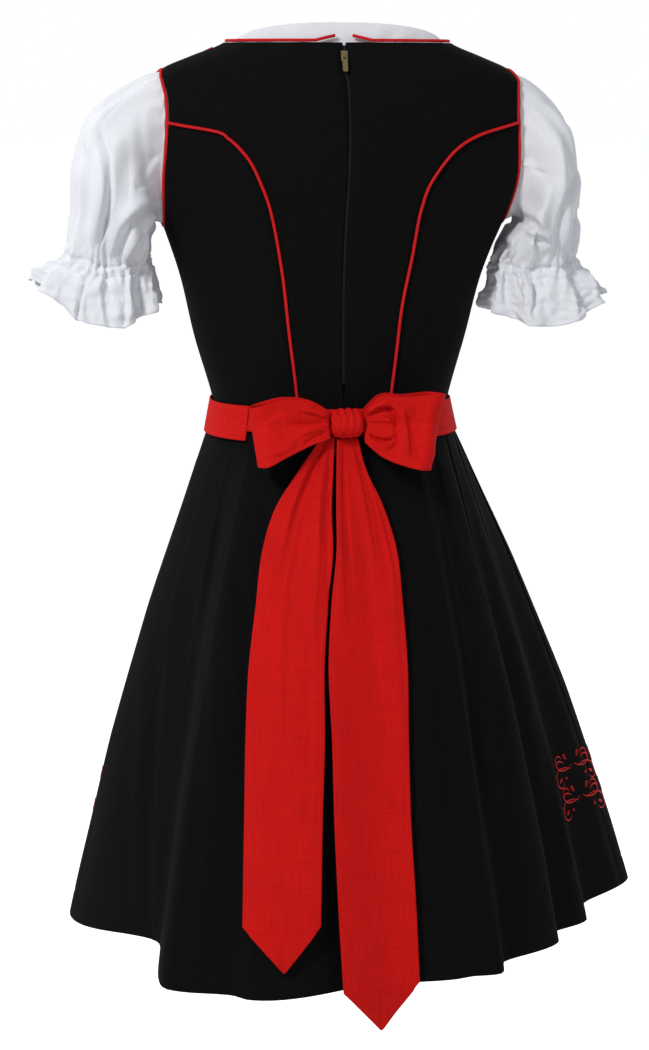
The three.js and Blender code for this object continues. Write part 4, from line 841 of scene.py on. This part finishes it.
# The skirt: three widths of black cotton, laid in small stitched pleats at the waist seam and let
# out below into broad soft folds, down to a turned hem.
HEM_Z, SKIRT_WALL, SKIRT_SWELL = -870, 1.6, 0.07
FOLDS = table("edge out up tuck in tuckUp",
              (25, 273, 0, 29, 267, 0), (42, 281, 0, 57, 227, 17), (96, 268, 0, 110, 243, 0),
              (127, 263, 0, 137, 247, 0), (151, 258, 0, 160, 246, 0), (174, 256, 0, 183, 245, 0),
              (197, 258, 0, 206, 246, 0), (220, 265, 0, 230, 250, 0), (243, 286, 0, 251, 272, 0),
              (265, 329, 8, 281, 263, 4), (287.5, 267, 0, 299, 239, 0), (304, 253, 0, 322, 235, 0),
              (328.5, 255, 0, 336, 243, 0), (351, 231, 0, 358, 229, 0))
PLEATS = {"count": 24, "deep": 2.2, "fade": 0.75}


def hem_at(angle, folded):
    """The hem's radius and rise: along the folds, or over their edges only."""
    at, radius, rise = FOLDS["edge"], FOLDS["out"], FOLDS["up"]
    if folded:
        at, radius, rise = (np.stack(pair, -1).ravel() for pair in (
            (at, FOLDS["tuck"]), (radius, FOLDS["in"]), (rise, FOLDS["tuckUp"])))
    at, radius, rise = np.append(at, at[0] + 360), np.append(radius, radius[0]), np.append(rise, rise[0])
    turn = np.mod(angle - at[0], 360) + at[0]
    k = np.clip(np.searchsorted(at, turn, side="right") - 1, 0, len(at) - 2)
    t = (turn - at[k]) / (at[k + 1] - at[k])
    t = t * t * (3 - 2 * t)
    return radius[k] * (1 - t) + radius[k + 1] * t, rise[k] * (1 - t) + rise[k + 1] * t


def skirt(angle, down, folded, out=0.0):
    """Points at an angle and a share of the way down, 0 at the waist and 1 at the hem."""
    angle, down = np.broadcast_arrays(np.asarray(angle, float), np.asarray(down, float))
    waist = form_face(angle, WAIST_Z)
    sin, cos = np.sin(np.radians(angle)), np.cos(np.radians(angle))
    share = down + SKIRT_SWELL * np.sin(math.pi * down)
    pleat = np.mod(angle / 360 * PLEATS["count"], 1)
    stitched = PLEATS["deep"] * (pleat - 0.75) * np.minimum(down * 12, 1) if folded else 0
    radius, rise = hem_at(angle, folded)
    relief = stitched * np.maximum(1 - down / PLEATS["fade"], 0) + out
    return np.stack([waist[..., 0] * (1 - share) + radius * sin * share + relief * sin,
                     waist[..., 1] * (1 - share) + radius * cos * share + relief * cos,
                     (WAIST_Z - SEAM_GAP) * (1 - down) + (HEM_Z + rise) * down], -1)


SKIRT_CREASES = crease_rows(
    (172, -560, 196, -862, 6, 9, -3.4, 1), (140, -545, 176, -868, -4, 10, -3.6, 1),
    (118, -420, 150, -640, 4, 8, 2.2, 1), (100, -600, 98, -866, 2, 6, -2.6, 1),
    (104, -470, 112, -700, -4, 9, -1.8, 1), (-84, -520, -96, -740, 4, 9, -2.4, 1),
    (-110, -560, -128, -860, -5, 9, -2.6, 1), (-92, -430, -120, -640, -4, 8, 2.0, 1),
    (-150, -600, -176, -850, 5, 10, -2.6, 1), (-196, -620, -230, -830, -4, 9, -2.4, 1),
    (-60, -440, -74, -620, 3, 8, -1.6, 1), (196, -600, 214, -840, 4, 9, -2.0, 1),
    (120, -420, 150, -800, 6, 10, -2.0, -1), (-124, -420, -156, -800, -6, 10, -2.0, -1),
    (60, -830, 66, -868, 1, 8, -1.6, -1), (-50, -832, -56, -868, 1, 8, -1.6, -1))
PLEAT_STEPS = np.array([0, 0.1, 0.2, 0.3, 0.4, 0.5, 0.6, 0.7, 0.8, 0.9, 0.96])
HEM_STITCH = {"at": 0.955, "wide": 0.003, "deep": 0.35}
down = np.concatenate([np.linspace(0, 0.1, 12), np.linspace(0.11, 0.94, 64),
                       np.linspace(0.945, 1, 12)])[:, None]
skirt_faces = []
for name, first, last in (("skirt_back_left", 0, 6), ("skirt_front", 6, 18), ("skirt_back_right", 18, 24)):
    angles = (np.arange(first, last)[:, None] + PLEAT_STEPS).ravel() * 360 / PLEATS["count"]
    angles = np.append(angles, last * 360 / PLEATS["count"] - 0.001)[None]
    face = skirt(angles, down, True)
    normals = outward(face, False, face * (0, 0, 1))
    relief = creases(face, SKIRT_CREASES) * ease(down, 0.05, 0.2)
    relief += 0.5 * crumple(np.radians(angles) * 200, down * 160, 5, 60, 8) * ease(down, 0.02, 0.2)
    relief -= HEM_STITCH["deep"] * np.exp(-((down - HEM_STITCH["at"]) / HEM_STITCH["wide"]) ** 2)
    face = face + normals * relief[..., None]
    skirt_faces.append(face)
    piece = sew(name + "_cloth", face, face - normals * SKIRT_WALL, black_cotton)
    wear(piece, name, face)

# The embroidery: scrolls of bright red thread in satin stitch, worked on the skirt over each hip,
# between the back and the apron. It is a plain traditional ornament of scrolls, drops and dots.
thread_red, thread_look, thread_bsdf = shader("satin_thread", 0.5)
strand = node(thread_look, "TexWave", Scale=700, Distortion=2)
spun = node(thread_look, "Mix", {"Factor": strand.outputs["Fac"]},
            A=(0.6, 0.007, 0.007, 1), B=(0.88, 0.014, 0.014, 1))
twist = node(thread_look, "Bump", {"Height": strand.outputs["Fac"]}, Strength=0.5, Distance=0.15 * MM)
thread_bsdf.inputs["Specular IOR Level"].default_value = 0.25
feed(thread_look, thread_bsdf, Base_Color=spun.outputs["Result"], Normal=twist.outputs["Normal"])


def scroll(x, y, turn, size, sweep, hand):
    """A curl that winds in from its foot: `turn` is its heading, `hand` the way it winds."""
    t = np.linspace(0, 1, 40)
    heading = np.radians(turn) + hand * np.radians(sweep) * t ** 1.25
    step = size / 40 * (1.35 - t)
    return np.stack([x + np.cumsum(step * np.cos(heading)), y + np.cumsum(step * np.sin(heading))], -1)


def leaf(x, y, turn, size):
    """A drop: out along one side of its middle line and back along the other."""
    t = np.linspace(0, 2 * math.pi, 26)
    along, aside = size * (0.5 - 0.5 * np.cos(t)), 0.22 * size * np.sin(t) * (0.4 + 0.6 * np.sin(t / 2) ** 2)
    c, s = math.cos(math.radians(turn)), math.sin(math.radians(turn))
    return np.stack([x + along * c - aside * s, y + along * s + aside * c], -1)


HALF_ORNAMENT = [scroll(0, 4, -40, 62, 320, 1), scroll(3, -3, 28, 70, 300, -1),
                 scroll(12, 6, 48, 24, 210, -1), scroll(30, -4, -14, 34, 280, 1),
                 leaf(8, 10, 70, 7), leaf(40, 8, 24, 8), leaf(20, -11, -30, 6)]
ring = np.linspace(0, 5.4, 9)
DOTS = [np.stack([x + 1.1 * np.cos(ring), y + 1.1 * np.sin(ring)], -1) for x, y in ((48, 0), (14, -12))]
ORNAMENT = {"rise": (-726, -760), "left": 106, "right": 273.5}   # heights, and the angle of its middle
ORNAMENT_SIZE, THREAD = (0.76, 0.86), {"wide": 0.9, "tall": 0.5, "sides": 6, "lift": 0.25}
OUTSIDE = 420                                    # a distance from the middle, past all the cloth

cloth_points = np.concatenate([face.reshape(-1, 3) for face in skirt_faces])
cloth_quads, first = [], 0
for face in skirt_faces:
    rows, columns = face.shape[:2]
    i, j = np.meshgrid(np.arange(rows - 1), np.arange(columns - 1), indexing="ij")
    low = first + (i * columns + j).ravel()
    cloth_quads += np.stack([low, low + 1, low + columns + 1, low + columns], -1).tolist()
    first += rows * columns
cloth = BVHTree.FromPolygons(cloth_points.tolist(), cloth_quads)


def on_cloth(angle, z):
    """The place on the skirt, as it lies, that is met from outside at an angle and a height."""
    away = np.array([math.sin(math.radians(angle)), math.cos(math.radians(angle)), 0])
    place = cloth.ray_cast((away * OUTSIDE + (0, 0, z)).tolist(), (-away).tolist())[0]
    return np.array(place) + away * THREAD["lift"]


def stitched(strokes, angle, z, mirror):
    """Tubes of thread laid along strokes on the skirt, in millimetres from a middle."""
    points, faces = [], []
    for stroke in strokes:
        share = np.sin(np.pi * np.linspace(0.06, 0.97, len(stroke))) ** 0.6
        radius = float(hem_at(np.array([angle]), True)[0][0]) * 0.8
        spot = np.stack([angle + np.degrees(stroke[:, 0] * mirror / radius), z + stroke[:, 1]], -1)
        centre = np.array([on_cloth(*place) for place in spot])
        along = unit(np.gradient(centre, axis=0))
        out = unit(centre * (1, 1, 0))
        side = unit(np.cross(out, along))
        start = len(points)
        count, sides = len(stroke), range(THREAD["sides"])
        for k in sides:
            turn = k * 2 * math.pi / len(sides)
            ring = centre + side * (THREAD["wide"] * share * math.cos(turn))[:, None]
            points += (ring + out * (THREAD["tall"] * share * math.sin(turn))[:, None]).tolist()
            for n in range(count - 1):
                a, b = start + k * count + n, start + (k + 1) % len(sides) * count + n
                faces.append((a, a + 1, b + 1, b))
        faces.append(tuple(start + k * count for k in sides))
        faces.append(tuple(start + k * count + count - 1 for k in reversed(sides)))
    return points, faces


for key in SIDES:
    points, faces = [], []
    for z in ORNAMENT["rise"]:
        for mirror in (1, -1):
            strokes = [stroke * ORNAMENT_SIZE for stroke in HALF_ORNAMENT + DOTS]
            more, quads = stitched(strokes, ORNAMENT[key], z, mirror)
            faces += [tuple(len(points) + corner for corner in quad) for quad in quads]
            points += more
    piece = make_piece(f"embroidery_{key}", np.array(points) * MM, faces, thread_red, True)
    wear(piece, None)

# The apron: a waistband over the waist seam with square ends at the back, and a panel gathered
# into it at the front. It is red cotton with the slubs of linen, topstitched along its edges.
APRON_WALL, BAND_CLEAR = 1.3, 1.3
APRON = {"start": 117, "end": 243, "bottom": -818, "lift": 3, "gathers": 12, "top": 1.2, "hem": 4.5}

red_linen = woven("red_linen", light=(0.68, 0.006, 0.004), dark=(0.52, 0.0035, 0.003), thread=0.6,
                  slub=(1.1, 34), roughness=0.75, sheen=0.0, specular=0.12, relief=0.8)


def down_at(z):
    """The share of the way down the skirt at a height."""
    return (WAIST_Z - np.asarray(z, float)) / (WAIST_Z - HEM_Z)


def over_skirt(angle, z, out):
    """Points at a height, laid over the skirt's folds at a distance."""
    points = skirt(angle, down_at(z), False, out)
    points[..., 2] = z
    return points


def band_face(angle, t, out):
    """The band stands straight from its top, on the bodice, to its bottom, on the skirt."""
    t = np.asarray(t, float)[..., None]
    return on_form(angle, BAND_TOP_Z, out) * (1 - t) + over_skirt(angle, BAND_BOTTOM_Z, out) * t


BAND_CREASES = crease_rows(
    (104, -348, 84, -356, 2, 4, -0.8, 1), (112, -341, 92, -344, -1, 3, 0.5, 1),
    (96, -366, 82, -352, 1, 3, -0.5, 1), (-104, -350, -86, -358, 2, 4, -0.7, 1),
    (40, -345, 10, -352, 2, 4, -0.6, -1), (-30, -352, -70, -347, 2, 4, -0.6, -1))
BAND_STITCH = {"edge": 3, "rows": (2.3, 22.7), "ends": (1.5, 257.5)}     # millimetres, then grid steps
GROOVE = {"deep": 0.28, "wide": 0.7}


def stitch_groove(t, place, length):
    """A row of topstitching: a shallow groove at a distance in millimetres from an edge."""
    return -GROOVE["deep"] * np.exp(-((t * length - place) / GROOVE["wide"]) ** 2)


red_seams = []                                   # lines of topstitching, each with the cloth's normals


def seam_on(face, rows, columns):
    """Keeps a line of topstitching over a grid of cloth, at rows and columns between its points."""
    grid = np.concatenate([face, outward(face, False, face * (0, 0, 1))], -1)
    rows, columns = (np.array(part, float) for part in np.broadcast_arrays(rows, columns))
    i = np.clip(rows.astype(int), 0, face.shape[0] - 2)
    j = np.clip(columns.astype(int), 0, face.shape[1] - 2)
    a, b = (rows - i)[:, None], (columns - j)[:, None]
    red_seams.append((grid[i, j] * (1 - a) + grid[i + 1, j] * a) * (1 - b)
                     + (grid[i, j + 1] * (1 - a) + grid[i + 1, j + 1] * a) * b)


t = np.linspace(0, 1, 26)[:, None]
angles = np.linspace(BAND_END, 360 - BAND_END, 260)[None]
outer_t, outer_angle = np.broadcast_arrays(t, angles)
face = band_face(outer_angle, outer_t, BAND_CLEAR + APRON_WALL)
normals = outward(face, False, face * (0, 0, 1))
height = BAND_TOP_Z - BAND_BOTTOM_Z
relief = (creases(face, BAND_CREASES) + stitch_groove(outer_t, BAND_STITCH["edge"], height)
          + stitch_groove(1 - outer_t, BAND_STITCH["edge"], height))
face = face + normals * relief[..., None]
for row in BAND_STITCH["rows"]:
    seam_on(face, row, np.linspace(*BAND_STITCH["ends"], 600))
for column in BAND_STITCH["ends"]:
    seam_on(face, np.linspace(*BAND_STITCH["rows"], 30), column)
piece = sew("apron_band_cloth", face, face - normals * APRON_WALL, red_linen)
wear(piece, "apron_band", face)

t = np.concatenate([np.linspace(0, 0.12, 16), np.linspace(0.13, 1, 74)])[:, None]
share = np.linspace(0, 1, 24 * APRON["gathers"] + 1)[None]
t, share = np.broadcast_arrays(t, share)
angle = APRON["start"] + (APRON["end"] - APRON["start"]) * share
z = (BAND_BOTTOM_Z - SEAM_GAP) * (1 - t) + APRON["bottom"] * t
swing = APRON["gathers"] * 2 * math.pi * share + 1.5 * np.sin(5 * share + 4 * t)
height = APRON["top"] * (1 - t) + APRON["hem"] * t
soft = np.minimum(t * 12, 1)
lift = (BAND_CLEAR + APRON_WALL) * (1 - soft) + (APRON["lift"] + height) * soft
fine_gathers = np.cos(46 * 2 * math.pi * share + 3 * np.sin(9 * share))
fine_gathers = 0.9 * np.exp(-(t / 0.16) ** 2) * soft * fine_gathers
face = over_skirt(angle, z, lift + height * np.cos(swing) * soft + fine_gathers)
normals = outward(face, False, face * (0, 0, 1))
length = BAND_BOTTOM_Z - APRON["bottom"]
PANEL = {"wide": 540, "hem": 22, "edge": 6, "hem_row": 86.4, "edge_columns": (3.2, 284.8)}
relief = (stitch_groove(1 - t, PANEL["hem"], length) + stitch_groove(share, PANEL["edge"], PANEL["wide"])
          + stitch_groove(1 - share, PANEL["edge"], PANEL["wide"]))
relief = relief + 0.5 * crumple(share * PANEL["wide"], t * 200, 9, 48, 8) * ease(t, 0.05, 0.3)
face = face + normals * relief[..., None]
seam_on(face, PANEL["hem_row"], np.linspace(3, 285, 700))
for column in PANEL["edge_columns"]:
    seam_on(face, np.linspace(1, PANEL["hem_row"], 400), column)
piece = sew("apron_panel_cloth", face, face - normals * APRON_WALL, red_linen)
wear(piece, "apron_panel", face)

TIE = {"z": -350, "height": 22, "to": 1.5, "ripple": 0.35}
for key, side in SIDES.items():
    rise = np.linspace(TIE["height"] / 2, -TIE["height"] / 2, 12)[:, None]
    angles = np.linspace(BAND_END - 0.4, TIE["to"], 60)[None]
    t, angles = np.broadcast_arrays((BAND_TOP_Z - TIE["z"] - rise) / (BAND_TOP_Z - BAND_BOTTOM_Z), angles)
    face = band_face(angles if side > 0 else 360 - angles, t, BAND_CLEAR + APRON_WALL)
    normals = outward(face, False, face * (0, 0, 1))
    face = face + normals * (TIE["ripple"] * np.cos(t * 30 + angles / 9))[..., None]
    piece = sew(f"apron_tie_{key}_cloth", face, face - normals * APRON_WALL, red_linen)
    wear(piece, f"apron_tie_{key}", face)

# The bow: the two ties knotted at the centre back, with a wide loop to each side. The loops stand
# open, round at their outer ends, and are gathered tightly where they go into the knot.
LOOP = {"wall": 1.3, "knotY": 107, "knotRadius": 4.2, "endRadius": 15, "endY": 99, "pinch": 1.6, "reach": 40}
LOOP_INNER, LOOP_LEAN = 16.3, 0.42
LOOP_STITCH = {"edge": 2.5, "tall": 60, "rows": (2.7, 54.3)}
LOOPS = {
    "left": (6, table("out top bottom", (12, -341, -362), (36, -328, -369), (60, -326, -379),
                      (80, -331, -388), (93, -334, -389))),
    "right": (18, table("out top bottom", (12, -341, -364), (32, -324, -381), (58, -325, -391),
                        (80, -324, -395), (98, -325, -397))),
}
LOOP_CREASES = {
    "left": crease_rows(
        (17, -346, 48, -336, 2, 4, 1.2, 1), (17, -350, 54, -348, -2, 4, -1.6, 1),
        (17, -354, 50, -362, 2, 4, 1.3, 1), (17, -358, 44, -370, 2, 3, -1.3, 1),
        (17, -343, 34, -333, 1, 3, -1.1, 1), (60, -336, 84, -352, 4, 9, -1.1, 1),
        (50, -366, 82, -376, -3, 7, 1.2, 1), (20, -352, 40, -355, 0, 2.2, 0.9, 1)),
    "right": crease_rows(
        (-17, -344, -38, -330, -3, 4, 1.8, 1), (-17, -347, -44, -338, -7, 3.4, -2.6, 1),
        (-17, -351, -48, -352, -5, 4, 2.0, 1), (-17, -355, -46, -362, 6, 3.4, -2.6, 1),
        (-17, -359, -42, -372, 3, 4, 1.8, 1), (-40, -334, -47, -356, -4, 3.6, -2.2, 1),
        (-47, -356, -40, -374, -4, 3.4, -2.0, 1), (-30, -342, -42, -350, -3, 2.4, 1.4, 1),
        (-52, -334, -56, -382, -3, 7, 1.8, 1), (-66, -336, -70, -386, 3, 10, -1.4, 1),
        (-82, -332, -84, -390, 2, 8, 0.9, 1)),
}


def drop_outline(reach):
    """A loop seen from above: round two circles, small at the knot and large outside."""
    length = reach - LOOP["endRadius"] - LOOP_INNER - LOOP["knotRadius"]
    flank = math.pi / 2 + math.asin((LOOP["endRadius"] - LOOP["knotRadius"]) / length)
    small = (LOOP_INNER + LOOP["knotRadius"], LOOP["knotY"], LOOP["knotRadius"],
             np.linspace(flank, 2 * math.pi - flank, 18))
    large = (reach - LOOP["endRadius"], LOOP["endY"], LOOP["endRadius"], np.linspace(-flank, flank, 26))
    arcs = [np.stack([x + r * np.cos(turn), y + r * np.sin(turn)], -1) for x, y, r, turn in (small, large)]
    lines = [np.linspace(arcs[k][-1], arcs[1 - k][0], 58)[1:-1] for k in (0, 1)]
    return np.vstack([arcs[0], lines[0], arcs[1], lines[1]])


for key, side in SIDES.items():
    slant, rows = LOOPS[key]
    t = np.linspace(0, 1, 58)
    outline = np.stack([drop_outline(rows["out"][-1] - slant * share) for share in t])
    x, y, t = outline[..., 0], outline[..., 1], t[:, None]
    z = read(rows, "out", "top", x) * (1 - t) + read(rows, "out", "bottom", x) * t
    facing = np.clip((y - LOOP["knotY"]) / LOOP["knotRadius"], -1, 1)
    pinch = LOOP["pinch"] * np.maximum(1 - (x - LOOP_INNER) / LOOP["reach"], 0) * np.cos(3 * math.pi * t)
    face = np.stack([side * x, y + LOOP_LEAN * np.maximum(WAIST_Z - z, 0) + pinch * facing, z], -1)
    normals = outward(face, True, face.mean(1, keepdims=True))
    relief = 1.8 * creases(face, LOOP_CREASES[key], 84)
    fade = ease(x, LOOP_INNER + 1, LOOP_INNER + 9)
    relief = (relief * fade + stitch_groove(t, LOOP_STITCH["edge"], LOOP_STITCH["tall"])
              + stitch_groove(1 - t, LOOP_STITCH["edge"], LOOP_STITCH["tall"]))
    face = face + normals * relief[..., None]
    for row in LOOP_STITCH["rows"]:
        seam_on(face, row, np.linspace(19, len(outline[0]) - 2, 400))
    inner = face - outward(face, True, face.mean(1, keepdims=True)) * LOOP["wall"]
    piece = sew(f"bow_loop_{key}_cloth", face, inner, red_linen, closed=True)
    wear(piece, f"bow_loop_{key}", face, closed=True)

KNOT = {"half": 16, "tall": 14, "deep": 14, "y": 107.1, "z": -350, "ridge": 1.1}
along = np.linspace(-0.985, 0.985, 66)[:, None]
turn = np.linspace(0, 2 * math.pi, 72, endpoint=False)[None]
along, turn = np.broadcast_arrays(along, turn)
body = (1 - np.abs(along) ** 4) ** 0.35
bend = 0.12 * np.sin(turn + 0.6) + 0.05 * np.sin(2 * turn + 2)
gathers = np.cos(4.4 * math.pi * (along + 2.2 * bend)) + 0.3 * np.cos(9.3 * math.pi * (along - bend) + 1)
flat = 0.2 + 0.9 * ease(np.sin(turn), 0.05, 0.9) + 0.3 * ease(-np.sin(turn), 0.4, 1)    # smooth in the middle
ridge = 1.25 * KNOT["ridge"] * gathers * body * flat
face = np.stack([KNOT["half"] * along + 0 * turn, KNOT["y"] + (KNOT["deep"] * body + ridge) * np.cos(turn),
                 KNOT["z"] + (KNOT["tall"] * body + ridge * 0.6) * np.sin(turn)], -1)
middle = face.mean(1, keepdims=True)
inner = middle + (face - middle) * 0.8
piece = sew("bow_knot_cloth", face, inner, red_linen, closed=True)
wear(piece, "bow_knot", face, closed=True)

# The tails: two straight strips with pointed, hemmed ends. They fan out below the knot in long soft
# folds and lie on the back of the skirt.
TAILS = {
    "left": table("z low high lift",
                  (-362.8, 11.5, 24, 14), (-394, 14, 47, 9), (-430, 17, 71, 6), (-470, 18, 85, 5),
                  (-515, 25, 93, 5), (-575, 32, 103, 5), (-640, 35, 109, 5), (-720, 41, 114, 5),
                  (-804, 46, 119, 5)),
    "right": table("z low high lift",
                   (-364.8, -11, 9.5, 14), (-394, -18, 11, 9), (-430, -34, 13, 7), (-470, -45, 15, 6),
                   (-515, -48, 22, 6), (-575, -50, 28, 6), (-640, -48, 28, 6), (-720, -47, 29, 6),
                   (-800, -49, 28, 6), (-867, -50, 26, 6)),
}
TAIL_CREASES = {
    "left": crease_rows(
        (16, -366, 32, -470, 3, 5, 2.2, 1), (14, -366, 24, -520, 2, 4, -2.2, 1),
        (20, -366, 56, -500, 4, 6, -2.6, 1), (22, -366, 66, -470, 5, 5, 2.4, 1),
        (26, -376, 78, -540, 5, 6, -2.0, 1), (18, -380, 42, -560, 2, 7, 1.8, 1),
        (60, -470, 76, -640, 3, 9, 1.2, 1), (40, -520, 52, -700, 2, 8, -1.0, 1)),
    "right": crease_rows(
        (-4, -368, -22, -480, -2, 5, 2.0, 1), (2, -368, 0, -500, 1, 5, -1.6, 1),
        (-8, -368, -36, -500, -4, 4, -2.8, 1), (-10, -376, -44, -520, -4, 5, 2.2, 1),
        (6, -370, 10, -540, 2, 6, 1.6, 1), (-16, -440, -24, -620, 2, 9, -1.1, 1),
        (-36, -480, -42, -680, -2, 9, 1.2, 1)),
}
POINT = {"left": 41, "right": 45}                # how far the end's point reaches
TAIL = {"columns": 43, "edge": 4}                # steps across it, and where its stitching lies
MITRE = {"below": 6, "thick": 1.5, "groove": 1.3, "press": 0.5}     # the folded point and its edge


def skirt_back(x, z):
    """How far back the skirt's folds reach at places seen from the back."""
    low, high = np.full(x.shape, -60.0), np.full(x.shape, 60.0)
    for _ in range(26):
        middle = (low + high) / 2
        near = skirt(middle, down_at(z), False)[..., 0] < x
        low, high = np.where(near, middle, low), np.where(near, high, middle)
    return skirt(low, down_at(z), False)[..., 1]


for key, rows in TAILS.items():
    down_rows = {name: column[::-1] for name, column in rows.items()}
    row_z = np.concatenate([np.linspace(rows["z"][0], rows["z"][-2], 120)[:-1],
                            np.linspace(rows["z"][-2], rows["z"][-1], 90)])[:, None]
    share = np.linspace(0, 1, TAIL["columns"] + 1)[None]
    row_z, share = np.broadcast_arrays(row_z, share)
    at = {name: read(down_rows, "z", name, row_z) for name in ("low", "high", "lift")}
    last = rows["z"][-2]
    toward_end = np.clip((last - row_z) / (last - rows["z"][-1]), 0, 1)
    x = at["low"] * (1 - share) + at["high"] * share
    z = row_z - POINT[key] * toward_end * (1 - np.abs(2 * share - 1))
    y = skirt_back(x, np.maximum(z, HEM_Z)) + at["lift"] + 1.2 * np.cos(2 * math.pi * share)
    face = np.stack([x, y, z], -1)
    normals = outward(face, False, face * (0, 0, 1))
    width = at["high"] - at["low"]
    from_edge = np.minimum(share, 1 - share) * width
    relief = creases(face, TAIL_CREASES[key], 60)
    relief = relief - GROOVE["deep"] * np.exp(-((from_edge - TAIL["edge"]) / 0.8) ** 2)
    into_point = rows["z"][-1] - MITRE["below"] - z
    in_point = ease(into_point, 0, 1.3)
    relief = relief + MITRE["thick"] * in_point - MITRE["press"] * np.exp(-((into_point + 1.4) / 1.2) ** 2)
    relief = relief - MITRE["groove"] * in_point * np.exp(-((share - 0.5) * width / 1.3) ** 2)
    relief = relief + 0.35 * crumple(x, z * 0.4, 15, 30, 8) * ease(-z, 400, 460)
    face = face + normals * relief[..., None]
    inset = TAIL["edge"] / width[:, 0] * TAIL["columns"]
    lines = np.arange(2, 206)
    for columns in (inset[lines], TAIL["columns"] - inset[lines]):
        seam_on(face, lines, columns)
    piece = sew(f"bow_tail_{key}_cloth", face, face - normals * APRON_WALL, red_linen, warp=z)
    wear(piece, f"bow_tail_{key}", face,
         across=float(width.max()))

# The topstitching: lines of lockstitch in red cotton thread that hold down the turned edges of the
# band, the apron, the bow's loops and its tails. Each stitch is a short piece of thread.
STITCH = {"pitch": 3.1, "long": 2.2, "wide": 0.5, "tall": 0.22}
points, faces = [], []
for line in red_seams:
    run = np.concatenate([[0], np.cumsum(np.linalg.norm(np.diff(line[:, :3], axis=0), axis=1))])
    spots = np.arange(STITCH["pitch"] / 2, run[-1], STITCH["pitch"])
    start, middle, end = (np.stack([np.interp(spots + shift, run, line[:, k]) for k in range(6)], -1)
                          for shift in (-STITCH["long"] / 2, 0, STITCH["long"] / 2))
    half = (end[:, :3] - start[:, :3]) / 2
    out = unit(middle[:, 3:])
    side = unit(np.cross(half, out)) * STITCH["wide"] / 2
    for spot, ahead, up, aside in zip(middle[:, :3], half, out * STITCH["tall"], side):
        base = len(points)
        points += [spot + ahead * px + up * py + aside * pz for px, py, pz in ROUND_BLOCK]
        faces += [tuple(base + corner for corner in quad) for quad in ROUND_BLOCK_FACES]
wear(make_piece("topstitching", np.array(points) * MM, faces, thread_red), None)
